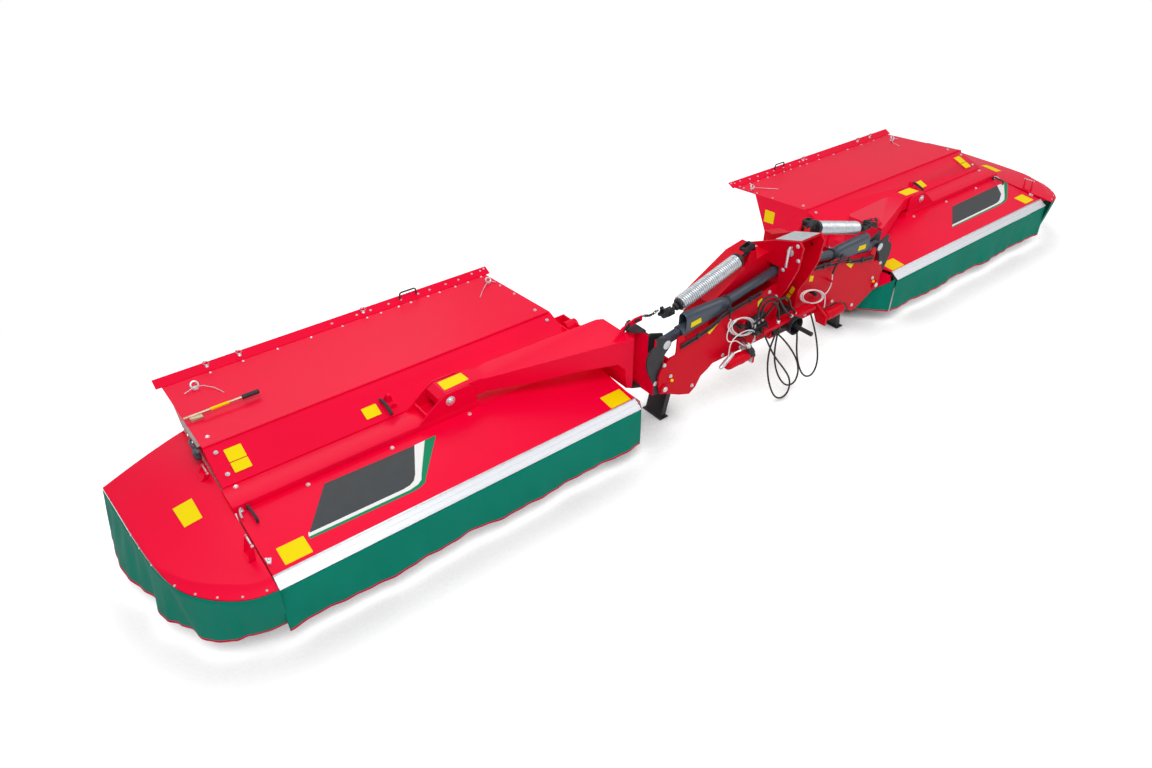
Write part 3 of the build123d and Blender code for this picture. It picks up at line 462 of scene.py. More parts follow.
# side guard: the plan line of its rim, from the front inner corner to the rear outer corner
guardSettings = {"inner": 4.072, "front": -0.925, "rimLow": 0.456, "sheet": 0.005,
                 "rim": [(4.159, -0.914), (4.222, -0.892), (4.292, -0.848), (4.362, -0.786), (4.424, -0.712),
                         (4.470, -0.640), (4.505, -0.555),
                         (4.533, -0.440), (4.556, -0.300), (4.580, -0.045), (4.595, 0.190), (4.614, 0.466)],
                 "plate": ((-0.93, 0.470), (-0.84, 0.478), (-0.302, 0.531), (-0.10, 0.556), (0.20, 0.572),
                           (0.45, 0.560), (0.70, 0.535)),
                 "rimBolts": ((4.497, -0.565, 0.468), (4.428, -0.690, 0.468), (4.345, -0.784, 0.468),
                              (4.240, -0.862, 0.470), (4.125, -0.900, 0.472)),
                 "sideBolts": ((4.606, 0.345), (4.583, -0.035), (4.572, -0.167), (4.553, -0.336)),
                 "tabs": ((-0.678, -0.594), (0.050, 0.134)),
                 "pins": ((-0.690, -0.582), (0.038, 0.146)),
                 "label": ((4.228, -0.040), (4.340, -0.042), (4.330, -0.223), (4.226, -0.220))}


def smoothLine(marks, parts):
    # plan line drawn smoothly through its marks
    marks = [Vector(m) for m in marks]
    ends = [marks[0] * 2 - marks[1]] + marks + [marks[-1] * 2 - marks[-2]]
    line = []
    for i in range(1, len(ends) - 2):
        a, b, c, d = ends[i - 1:i + 3]
        for k in range(parts):
            t = k / parts
            cubic = (3 * b - a - 3 * c + d) * t ** 3
            line.append(0.5 * (2 * b + (c - a) * t + (2 * a - 5 * b + 4 * c - d) * t * t + cubic))
    line.append(marks[-1])
    return [tuple(p) for p in line]


def rimLine():
    return smoothLine([(guardSettings["inner"], guardSettings["front"])] + guardSettings["rim"], 5)


def outwards(line, i):
    a, b = line[max(i - 1, 0)], line[min(i + 1, len(line) - 1)]
    dx, dy = b[0] - a[0], b[1] - a[1]
    length = math.hypot(dx, dy)
    return dy / length, -dx / length


hemSettings = {
    "out": [(0.0, -0.060), (0.15, -0.062), (0.24, -0.050), (0.31, -0.018), (0.43, 0.004), (0.50, 0.012),
            (0.59, -0.008),
            (0.68, 0.018), (0.76, 0.052), (0.85, 0.058), (0.97, 0.030), (1.08, 0.062), (1.22, 0.096), (1.34, 0.104),
            (1.44, 0.092),
            (1.64, 0.064)],
    "low": [(0.0, 0.132), (0.20, 0.118), (0.42, 0.100), (0.70, 0.106), (0.95, 0.094), (1.25, 0.102), (1.64, 0.096)],
}


def alongTable(table, at):
    for (a, low), (b, high) in zip(table, table[1:]):
        if at <= b:
            t = max(0.0, (at - a) / (b - a))
            return low + (high - low) * t * t * (3 - 2 * t)
    return table[-1][1]


def sideCurtain(sideName, side):
    line = rimLine()
    columns = []
    run = 0.0
    for i, (x, y) in enumerate(line):
        for half in ((0, 0.33, 0.67) if i < len(line) - 1 else (0,)):
            px, py = x, y
            if half:
                px, py = x + (line[i + 1][0] - x) * half, y + (line[i + 1][1] - y) * half
            at = run + math.hypot(px - x, py - y)
            ox, oy = outwards(line, i)
            spread = alongTable(hemSettings["out"], at)
            crease = 0.010 * math.exp(-((at - 0.56) / 0.035) ** 2) - 0.012 * math.exp(-((at - 0.66) / 0.03) ** 2)
            crease += 0.007 * math.sin(at * 31 + 0.4) * max(0.0, min(1.0, (at - 0.8) / 0.3))
            low = alongTable(hemSettings["low"], at)
            column = []
            for share in hangDepths(12):
                out = 0.004 + spread * share ** 1.25 + crease * math.sin(math.pi * min(1.0, share * 1.15))
                z = curtainSettings["sideTop"] + (low - curtainSettings["sideTop"]) * share
                column.append(mirrored(side, px + ox * out, py + oy * out, z))
            columns.append(column)
        if i < len(line) - 1:
            run += math.hypot(line[i + 1][0] - x, line[i + 1][1] - y)
    clothPiece(sideName + "_side_cloth", columns, 2, sideName + "_side_guard", sideName + "_side_curtain")


def guardTop(x, y):
    # height of the guard's plate: it follows the front guard and falls gently outward
    marks = guardSettings["plate"]
    inner = marks[-1][1]
    for (y0, z0), (y1, z1) in zip(marks, marks[1:]):
        if y <= y1:
            inner = z0 + (z1 - z0) * max(0.0, y - y0) / (y1 - y0)
            break
    edge = 0.476 + 0.006 * max(0.0, min(1.0, y + 0.6))
    across = max(0.0, min(1.0, (x - 4.085) / 0.52))
    return inner + (min(edge, inner) - inner) * across ** 1.25


def sideGuard(sideName, side):
    s = guardSettings
    rim = rimLine()
    rim += [(4.614 - (4.614 - s["inner"]) * k / 22, 0.466 + (0.640 - 0.466) * k / 22) for k in range(1, 23)]
    count = len(rim)
    rings = [[] for _ in range(10)]
    for i, (x, y) in enumerate(rim):
        ox, oy = outwards(rim, i)
        share = i / (count - 1)
        target = Vector((s["inner"], -0.855 + 1.44 * share))
        band = 0.078 * max(0.0, min(1.0, (-0.40 - y) / 0.42)) ** 0.8
        def spot(inset):
            px, py = x - ox * inset, y - oy * inset
            return max(s["inner"], px), py
        low = s["rimLow"]
        edgeX, edgeY = spot(band + 0.004)
        top = guardTop(edgeX, edgeY)
        rings[0].append((*spot(0.004), low - 0.001))
        rings[1].append((x, y, low))
        rings[2].append((x, y, low + 0.010 if band > 0.02 else top - 0.007 - 0.35 * band))
        rings[3].append((*spot(band * 0.5 + 0.001), (low + 0.010 + top - 0.004) / 2 if band > 0.02 else top - 0.004))
        rings[4].append((*spot(band + 0.002), top - 0.002))
        rings[5].append((*spot(band + 0.008), guardTop(*spot(band + 0.008)) + 0.0005))
        rings[6].append((*spot(band + 0.020), guardTop(*spot(band + 0.020))))
        start = Vector(spot(band + 0.020))
        for ring, part in ((7, 0.35), (8, 0.7), (9, 1.0)):
            place = start.lerp(target, part)
            rings[ring].append((place.x, place.y, guardTop(place.x, place.y)))
    rings.append([(x, y, z - 0.028) for x, y, z in rings[9]])
    points = [mirrored(side, *p) for ring in rings for p in ring]
    faces = []
    for r in range(len(rings) - 1):
        for i in range(count - 1):
            a = r * count + i
            faces.append((a, a + 1, a + count + 1, a + count))
    piece = newPiece(sideName + "_guard_shell", points, faces, redPaint, sideName + "_side_guard")
    work = bmesh.new()
    work.from_mesh(piece.data)
    bmesh.ops.remove_doubles(work, verts=work.verts, dist=0.0004)
    bmesh.ops.recalc_face_normals(work, faces=work.faces)
    work.to_mesh(piece.data)
    work.free()
    piece.data.shade_smooth()
    piece.data.set_sharp_from_angle(angle=math.radians(32))
    thick = piece.modifiers.new("sheet", "SOLIDIFY")
    thick.thickness = s["sheet"]
    thick.offset = -1
    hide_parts(sideName + "_side_guard")
    body = sideName + "_side_guard"
    marks = guardSettings["rimBolts"]
    bolts = [(mirrored(side, x, y, z), (side * 0.3, -0.7, 0.5)) for x, y, z in marks]
    for x, y in guardSettings["sideBolts"]:
        bolts.append((mirrored(side, x, y, 0.464), (side, -0.15, 0.1)))
    boltPiece(sideName + "_rim_bolts", bolts, body, 0.0055)
    tabs = []
    for y0, y1 in guardSettings["tabs"]:
        z = guardTop(4.11, y0)
        for y in (y0, y1 - 0.006):
            edge = [(4.096, z - 0.002), (4.136, z - 0.004), (4.106, 0.606), (4.096, 0.612), (4.086, 0.610),
                    (4.084, 0.600)]
            tabs.append(prism([mirrored(side, x, y, h) for x, h in edge], (0, 0.006, 0)))
        foot = [(4.094, y0), (4.140, y0), (4.140, y1), (4.094, y1)]
        tabs.append(prism([mirrored(side, x, y, guardTop(x, y) - 0.001) for x, y in foot], (0, 0, 0.006)))
    piece = newPiece(sideName + "_guard_tabs", *joinParts(tabs), redPaint, body)
    softenEdges(piece, 0.0015)
    pins = []
    for y0, y1 in guardSettings["pins"]:
        pins.append(turned(mirrored(side, 4.094, y0, 0.603), (0, 1, 0),
                           ((0, 0.006), (0.002, 0.009), (0.007, 0.009), (0.0072, 0.0058), (y1 - y0 - 0.008, 0.0058),
                            (y1 - y0 - 0.007, 0.009), (y1 - y0, 0.006)), 18))
    newPiece(sideName + "_guard_pins", *joinParts(pins), zincPlate, body, smooth=35)
    # the label lies over the crowned plate
    corners, parts = [Vector((x, y, 0)) for x, y in guardSettings["label"]], 6
    low, faces = [], []
    for i in range(parts + 1):
        for j in range(parts + 1):
            flat = corners[0].lerp(corners[1], i / parts).lerp(corners[3].lerp(corners[2], i / parts), j / parts)
            low.append(mirrored(side, flat.x, flat.y, guardTop(flat.x, flat.y) + 0.0022))
    count, row = len(low), parts + 1
    for i in range(parts):
        for k in range(i * row, i * row + parts):
            faces += [(k, k + 1, k + row + 1, k + row),
                      (count + k, count + k + row, count + k + row + 1, count + k + 1)]
    rim = list(range(parts)) + [i * row + parts for i in range(parts)]
    rim += [parts * row + j for j in range(parts, 0, -1)] + [i * row for i in range(parts, 0, -1)]
    faces += [(rim[k - 1], here, count + here, count + rim[k - 1]) for k, here in enumerate(rim)]
    newPiece(sideName + "_label_guard", low + [spot + Vector((0, 0, 0.0007)) for spot in low], faces, yellowLabel,
             sideName + "_side_guard")


for sideName, side in sides:
    frontCurtain(sideName, side)
    innerCurtain(sideName, side)
    sideCurtain(sideName, side)
    sideGuard(sideName, side)
print("curtains and side guards made")


# aluminium strip
stripSettings = {"top": (-0.8183, 0.465), "low": (-0.8883, 0.415), "thick": 0.016, "from": 1.491, "to": 4.063}


def strip(sideName, side):
    top, low = Vector(stripSettings["top"]), Vector(stripSettings["low"])
    down = (low - top).normalized()
    inward = Vector((-down.y, down.x))
    length = (low - top).length
    face = [(0, 0), (0.012, 0), (0.0135, 0.003), (0.020, 0.003), (0.0215, 0), (0.040, 0), (0.0415, 0.0035),
            (0.0475, 0.0035),
            (0.049, 0), (0.074, 0), (0.0755, 0.002), (0.080, 0.002), (0.0815, 0), (length, 0),
            (length, stripSettings["thick"]),
            (length - 0.012, stripSettings["thick"]), (length - 0.013, 0.0085), (0.014, 0.0085),
            (0.013, stripSettings["thick"]),
            (0, stripSettings["thick"])]
    rings = []
    for x in (stripSettings["from"], stripSettings["to"]):
        ring = []
        for d, n in face:
            spot = top + down * d + inward * n
            ring.append(mirrored(side, x, spot.x, spot.y))
        rings.append(ring)
    points, faces = loftRings(rings)
    piece = newPiece(sideName + "_strip_face", points, faces, brightStrip, sideName + "_flap", slot="bright_strip")
    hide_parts(sideName + "_front_strip")
    rod = turned(mirrored(side, stripSettings["from"], -0.8183, 0.460), (side, 0, 0),
                 ((0, 0.0062), (0.001, 0.0068), (2.571, 0.0068), (2.572, 0.0062)), 12)
    newPiece(sideName + "_strip_rod", *rod, zincPlate, sideName + "_flap", smooth=40)
    caps = []
    for x, way in ((1.491, -1), (4.063, 1)):
        ring = []
        for d, n in ((-0.001, -0.001), (length + 0.001, -0.001), (length + 0.001, 0.017), (-0.001, 0.017)):
            spot = top + down * d + inward * n
            ring.append(mirrored(side, x, spot.x, spot.y))
        caps.append(prism(ring, (side * way * 0.004, 0, 0)))
    cap = newPiece(sideName + "_strip_caps", *joinParts(caps), blackPaint, sideName + "_flap")
    softenEdges(cap, 0.0012)


for sideName, side in sides:
    strip(sideName, side)
print("strips made")


# frame sheets, arms and castings: the nodes with rounded edges
softNodes = {
    "front_guard": (redPaint, 0.0015), "hood": (redPaint, 0.0015), "rear_deflector": (redPaint, 0.0015),
    "arm": (redPaint, 0.006), "stand": (blackPaint, 0.003),
    "drive_housing": (redPaint, 0.003), "ram_barrel": (bluePaint, 0.002), "ram_rod": (bluePaint, 0.003),
}
for sideName, side in sides:
    for nodeName, (material, width) in softNodes.items():
        softCopy(sideName + "_" + nodeName, material, width, dissolve=nodeName != "hood")
    softCopy(sideName + "_bracket", castBlack, 0.004, second=redPaint,
             inside=lambda spot: spot.z < 0.862 and min(abs(abs(spot.x) - 1.302), abs(abs(spot.x) - 1.317)) < 0.0015)
    softCopy(sideName + "_side_frame", frameRed, 0.0025, second=zincPlate,
             inside=lambda spot: 0.436 < abs(spot.x) < 0.56 and math.hypot(spot.y + 0.905, spot.z - 0.430) < 0.0195)
softCopy("headstock", frameRed, 0.004)
softCopy("gearbox", castBlack, 0.004)
for nodeName, node in cadNodes.items():
    material = bareSteel
    if nodeName.endswith("_rope"):
        material = ropeWhite
    if nodeName.endswith("_beam"):
        material = redPaint
    if nodeName == "springs":
        material = zincPlate
    node.data.materials.clear()
    node.data.materials.append(material)
print("edges softened")


# springs
springSettings = {"top": (0.440, 1.137), "low": (1.000, 0.976), "plane": -0.686, "turns": 33, "radius": 0.047,
                  "wire": 0.0081, "perTurn": 16, "inset": 0.008,
                  "eye": (0.306, 1.1755)}
coverSettings = {
    "plane": -0.7725, "half": 0.0390, "label": [(0.991, 0.842), (0.991, 0.882), (0.897, 0.890), (0.889, 0.850)],
    "stations": [(0.610, 0.870, 0.932), (0.640, 0.858, 0.948), (0.700, 0.846, 0.952), (0.860, 0.828, 0.956),
                 (1.020, 0.818, 0.958),
                 (1.036, 0.818, 0.950)],
}


def spring(sideName, side):
    s = springSettings
    top = mirrored(side, s["top"][0], s["plane"], s["top"][1])
    low = mirrored(side, s["low"][0], s["plane"], s["low"][1])
    along = (low - top).normalized()
    across = along.orthogonal().normalized()
    up = along.cross(across)
    length = (low - top).length
    path = []
    steps = s["turns"] * s["perTurn"]
    for k in range(steps + 1):
        angle = 2 * math.pi * k / s["perTurn"]
        reached = along * (s["inset"] + (length - 2 * s["inset"]) * k / steps)
        path.append(top + reached + (across * math.cos(angle) + up * math.sin(angle)) * s["radius"])
    coil = newPiece(sideName + "_spring_coil", *sweepRound(path, s["wire"], 8), zincPlate, "frame", smooth=60,
                    slot="spring_zinc")
    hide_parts("springs")
    eye = mirrored(side, s["eye"][0], s["plane"], s["eye"][1])
    reach = low + along * 0.084
    parts = [turned(top + along * -0.020, along,
                    ((0, 0.030), (0.003, 0.052), (0.018, 0.057), (0.030, 0.057), (0.034, 0.036)), 28),
             turned(low + along * -0.004, along,
                    ((0, 0.034), (0.003, 0.044), (0.008, 0.045), (0.014, 0.040), (0.016, 0.028)), 28),
             sweepRound([eye, top], 0.012, 14), sweepRound([low, reach], 0.014, 14),
             turned(low + along * 0.012, along, ((0, 0.026), (0.004, 0.030), (0.026, 0.030), (0.032, 0.022)), 6),
             turned(top - along * 0.045, along, ((0, 0.018), (0.004, 0.021), (0.022, 0.021), (0.026, 0.018)), 6)]
    for spot in (eye, reach):
        parts.append(turned(spot + Vector((0, -0.013, 0)), (0, 1, 0),
                            ((0, 0.021), (0.003, 0.025), (0.023, 0.025), (0.026, 0.021)), 24))
    # the dark lever that holds the lower eye, and the lugs over the upper one
    hold = [(1.052, 0.930), (1.100, 0.926), (1.160, 0.930), (1.178, 0.944), (1.160, 0.966), (1.152, 0.998),
            (1.132, 1.000), (1.122, 0.972), (1.060, 0.974)]
    for y in (s["plane"] - 0.024, s["plane"] + 0.015):
        parts.append(facePlate(side, y, hold, 0.009))
    for x, z, r in ((1.081, 0.953, 0.014), (1.142, 0.986, 0.010), (1.158, 0.946, 0.010)):
        parts.append(turned(mirrored(side, x, s["plane"] - 0.034, z), (0, 1, 0),
                            ((0, r * 0.8), (0.003, r), (0.065, r), (0.068, r * 0.8)), 18))
    for x, z in ((0.381, 1.205), (0.306, 1.224)):
        parts.append(turned(mirrored(side, x, s["plane"] - 0.030, z), (0, 1, 0),
                            ((0, 0.012), (0.003, 0.016), (0.057, 0.016), (0.060, 0.012)), 18))
    upper = [(0.280, 1.185), (0.300, 1.240), (0.330, 1.244), (0.398, 1.226), (0.402, 1.196), (0.372, 1.186)]
    for y in (s["plane"] - 0.026, s["plane"] + 0.018):
        parts.append(facePlate(side, y, upper, 0.008))
    ends = newPiece(sideName + "_spring_ends", *joinParts(parts), blackPaint, "frame", smooth=35)
    softenEdges(ends, 0.001, angle=50)
    # cover over the outer half of the cylinder: a rounded top on flat sides, with a blank label
    c = coverSettings
    rings = []
    for x, low, high in c["stations"]:
        ring = []
        for k in range(13):
            angle = math.pi * k / 12
            ring.append((c["plane"] - c["half"] * math.cos(angle), high - c["half"] + c["half"] * math.sin(angle)))
        inner = [(y * 0.94 + c["plane"] * 0.06, z - 0.003) for y, z in reversed(ring)]
        ring = [(ring[0][0], low)] + ring + [(ring[-1][0], low), (inner[0][0], low)] + inner + [(inner[-1][0], low)]
        rings.append([mirrored(side, x, y, z) for y, z in ring])
    cover = newPiece(sideName + "_ram_cover", *loftRings(rings), bluePaint, sideName + "_ram_rod", smooth=40)
    softenEdges(cover, 0.0008, angle=50)
    surfacePlate(sideName + "_label_cover", [mirrored(side, x, c["plane"] - c["half"], z) for x, z in c["label"]],
                 (0, -1, 0),
                 yellowLabel, sideName + "_ram_rod", lift=0.0003, round_=0.004)


for sideName, side in sides:
    spring(sideName, side)
print("springs wound")


# labels
# height at one y, the rise per metre from there, and that y, for each sloping sheet of a unit
sheetSlopes = {"guard": (0.530, 0.13360, -0.302), "hoodFront": (0.587, 0.40925, -0.110),
               "hoodTop": (0.6975, -0.07159, 0.171)}


def slopeHeight(sheet, y):
    height, rise, start = sheetSlopes[sheet]
    return height + rise * (y - start)


def guardHeight(y):
    return slopeHeight("guard", y)


def hoodFrontHeight(y):
    return slopeHeight("hoodFront", y)


def hoodTopHeight(y):
    return slopeHeight("hoodTop", y)


labelSettings = {
    "guardInner": [(1.520, -0.806), (1.694, -0.806), (1.694, -0.682), (1.520, -0.682)],
    "guardOuter": [(3.822, -0.786), (3.980, -0.786), (3.980, -0.656), (3.822, -0.656)],
    "hoodUpper": [(3.860, 0.016), (3.964, 0.016), (3.964, 0.104), (3.860, 0.104)],
    "hoodLower": [(3.860, -0.058), (3.964, -0.058), (3.964, 0.010), (3.860, 0.010)],
    "hoodMiddle": [(3.018, -0.070), (3.122, -0.070), (3.122, 0.012), (3.018, 0.012)],
}


# the far unit's panel isn't the near one mirrored, so each has its own outline
panelLooks = (("green", greenLabel, 0.0002), ("white", whiteLabel, 0.0004), ("grey", greyLabel, 0.0006))
nearPanel = {
    "green": [(2.808, -0.382), (2.890, -0.382), (3.799, -0.679), (3.799, -0.697), (3.160, -0.712), (3.100, -0.704),
              (3.062, -0.686), (3.030, -0.645)],
    "white": [(2.890, -0.383), (2.965, -0.385), (3.790, -0.652), (3.799, -0.680), (3.165, -0.690), (3.105, -0.678),
              (3.070, -0.655), (3.047, -0.615)],
    "grey": [(2.966, -0.386), (3.562, -0.371), (3.786, -0.657), (3.200, -0.664), (3.150, -0.658), (3.112, -0.638),
             (3.082, -0.600)],
}
farPanel = {
    "green": [(2.683, -0.659), (2.731, -0.628), (4.061, -0.415), (4.095, -0.428), (3.753, -0.621), (3.680, -0.648),
              (3.569, -0.659)],
    "white": [(2.702, -0.647), (2.731, -0.628), (3.914, -0.409), (4.040, -0.417), (3.752, -0.590), (3.690, -0.622),
              (3.597, -0.640)],
    "grey": [(2.731, -0.628), (3.058, -0.419), (3.914, -0.410), (3.779, -0.537), (3.628, -0.603), (3.570, -0.616),
             (3.501, -0.621)],
}
plateCorners = {
    "wall": [(0.643, 0.542), (0.523, 0.548), (0.526, 0.427), (0.643, 0.417)],
    "arm": [(2.455, -0.242), (2.645, -0.252), (2.640, -0.150), (2.460, -0.146)],
}


def labels(sideName, side):
    unit = sideName + "_unit"
    guardNormal = (0, -0.1324, 0.9912)
    hoodNormal = (0, -0.3787, 0.9255)
    for key, corners in labelSettings.items():
        height, normal = (guardHeight, guardNormal) if key.startswith("guard") else (hoodFrontHeight, hoodNormal)
        spots = [mirrored(side, x, y, height(y)) for x, y in corners]
        surfacePlate(sideName + "_label_" + key, spots, normal, yellowLabel, unit, round_=0.006)
    hood = cadNodes[sideName + "_hood"]
    shell = BVHTree.FromPolygons([hood.matrix_world @ v.co for v in hood.data.vertices],
                                 [tuple(f.vertices) for f in hood.data.polygons])
    place = shell.ray_cast(mirrored(side, 1.2, 0.583, 0.483), Vector((side, 0, 0)))[0]
    wall = abs(place.x)
    surfacePlate(sideName + "_label_wall", [mirrored(side, wall, y, z) for y, z in plateCorners["wall"]],
                 (-side, 0, 0), yellowLabel, unit, round_=0.006)
    spots = [mirrored(side, x, y, 0.728) for x, y in plateCorners["arm"]]
    surfacePlate(sideName + "_label_arm", spots, (0, 0, 1), yellowLabel, sideName + "_arm", round_=0.005)
    for key, material, lift in panelLooks:
        corners = (farPanel if side > 0 else nearPanel)[key]
        spots = [mirrored(side, x, y, guardHeight(y)) for x, y in corners]
        surfacePlate(sideName + "_panel_" + key, spots, guardNormal, material, unit, thick=0.0004, lift=lift)


for sideName, side in sides:
    labels(sideName, side)
print("labels placed")


# cross beam with its cover channel and the cheeks of the arm pivot
beamSettings = {"in": 1.505, "out": 4.039, "channelIn": 2.425, "channelOut": 4.075, "front": -0.302, "rear": -0.110,
                "low": 0.440, "top": 0.530, "channelTop": 0.577, "pivot": (2.637, 0.669)}


def crossBeam(sideName, side):
    s = beamSettings
    unit = sideName + "_unit"
    front, rear, high = s["front"], s["rear"], s["channelTop"]
    box = [(front, s["low"]), (rear, s["low"]), (rear, s["top"]), (front, s["top"])]
    channel = [(front, s["top"] - 0.002), (rear, s["top"] - 0.002), (rear, high - 0.006),
               (rear - 0.002, high - 0.002),
               (rear - 0.006, high), (front + 0.005, high), (front + 0.0015, high - 0.0015), (front, high - 0.005)]
    parts = [prism([mirrored(side, s["in"], y, z) for y, z in box], (side * (s["out"] - s["in"]), 0, 0)),
             prism([mirrored(side, s["channelIn"], y, z) for y, z in channel],
                   (side * (s["channelOut"] - s["channelIn"]), 0, 0))]
    cheek = [(2.445, high - 0.004), (2.445, 0.700), (2.452, 0.708), (2.486, 0.727), (2.500, 0.730), (2.652, 0.730),
             (2.668, 0.726),
             (2.722, 0.695), (2.740, 0.683), (2.880, high - 0.004)]
    for y in (front, rear - 0.012):
        parts.append(facePlate(side, y, cheek, 0.012))
    parts.append(prism([mirrored(side, 2.800, y, z) for y,
                        z in ((front + 0.010, high - 0.003), (rear - 0.010, high - 0.003), (rear - 0.010, 0.622),
                              (front + 0.010, 0.622))],
                       (side * 0.012, 0, 0)))
    piece = newPiece(sideName + "_beam_body", *joinParts(parts), redPaint, unit, slot="red_paint")
    softenEdges(piece, 0.002)
    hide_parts(sideName + "_beam")
    x, z = s["pivot"]
    pin = [turned(mirrored(side, x, front - 0.016, z), (0, 1, 0),
                  ((0, 0.014), (0.004, 0.021), (0.010, 0.024), (0.220, 0.024), (0.226, 0.021), (0.230, 0.014)), 28),
           turned(mirrored(side, x, front - 0.005, z), (0, 1, 0), ((0, 0.030), (0.002, 0.034), (0.004, 0.034)), 28)]
    newPiece(sideName + "_arm_pin", *joinParts(pin), zincPlate, unit, smooth=35)


# bolts, handles and levers of one unit
wallSettings = {
    "face": 4.0805, "outline": [(0.205, 0.6935), (0.560, 0.668), (0.470, 0.628), (0.330, 0.606), (0.240, 0.606),
                                (0.215, 0.640)],
    "bolts": [(0.300, 0.668), (0.400, 0.660), (0.490, 0.652), (0.350, 0.630)],
    "knobs": [(0.207, 0.640, 4.076, 0.040, 0.042), (0.176, 0.676, 4.078, 0.016, 0.034),
              (0.264, 0.632, 4.078, 0.024, 0.030)],
}

unitBolts = {
    "guard": [(3.643, -0.325), (3.091, -0.329), (2.524, -0.333), (1.70, -0.33)],
    "hoodFront": [(4.006, 0.108), (4.004, -0.047), (1.560, 0.108), (1.560, -0.047)],
    "hoodTop": [(4.000, 0.267), (1.560, 0.262)],
    "lipLow": [3.748, 3.522, 3.273, 3.022, 2.775, 2.574, 2.46, 2.308, 2.202, 2.049, 1.946, 1.799, 1.68],
}


def barHandle(start, end, rise, radius):
    # grip bar on two bent feet
    start, end = Vector(start), Vector(end)
    up = Vector((0, 0, rise))
    run = (end - start)
    return sweepRound([start - up * 0.1, start + up * 0.55, start + up * 0.88 + run * 0.03, start + up + run * 0.10,
                       start + up + run * 0.5,
                       end + up - run * 0.10, end + up * 0.88 - run * 0.03, end + up * 0.55, end - up * 0.1], radius,
                      12)


def ringPart(centre, normal, radius, wire, sides=28):
    centre, normal = Vector(centre), Vector(normal).normalized()
    across = normal.orthogonal().normalized()
    up = normal.cross(across)
    return sweepRound([centre + (across * math.cos(a) + up * math.sin(a)) * radius
                       for a in (2 * math.pi * k / sides for k in range(sides + 1))], wire, 8)


fittingSettings = {
    "edgeBolts": ((1.545, 1.045), (1.60, 1.100), (1.520, 1.100), (1.480, 1.108), (1.535, 0.985), (1.520, 0.80),
                  (1.520, 0.60)),
    "lipRings": (3.748, 3.522, 2.574),
    "outerWire": ((3.971, 0.859, 0.654), (3.93, 0.872, 0.660), (3.89, 0.880, 0.668), (3.84, 0.862, 0.664),
                  (3.79, 0.800, 0.660), (3.758, 0.705, 0.6610)),
    "innerWire": ((1.515, 0.873, 0.653), (1.54, 0.89, 0.660), (1.566, 0.895, 0.668), (1.61, 0.870, 0.662),
                  (1.68, 0.810, 0.656), (1.753, 0.730, 0.660)),
    "clampLever": ((2.978, 0.020, 0.647), (2.975, -0.020, 0.650), (2.972, -0.075, 0.634), (2.972, -0.125, 0.612)),
    "clampRear": ((2.905, 0.625), (2.915, 0.672), (2.935, 0.676), (2.958, 0.640), (2.960, 0.622)),
    "clampFront": ((2.900, 0.602), (2.905, 0.628), (2.930, 0.640), (2.955, 0.628), (2.960, 0.600)),
    "leverSeat": ((3.955, 0.484), (4.030, 0.484), (4.030, 0.526), (3.955, 0.526)),
    "latchBar": ((4.028, -0.300, 0.535), (4.034, -0.302, 0.552), (4.044, -0.318, 0.550), (4.050, -0.345, 0.538),
                 (4.050, -0.366, 0.533)),
    "latchPlate": ((4.056, -0.690), (4.056, -0.736), (4.040, -0.744), (4.024, -0.708)),
    "knobBar": ((4.080, 0.240, 0.655), (4.096, 0.262, 0.664), (4.100, 0.300, 0.662), (4.092, 0.340, 0.655),
                (4.076, 0.352, 0.650)),
}


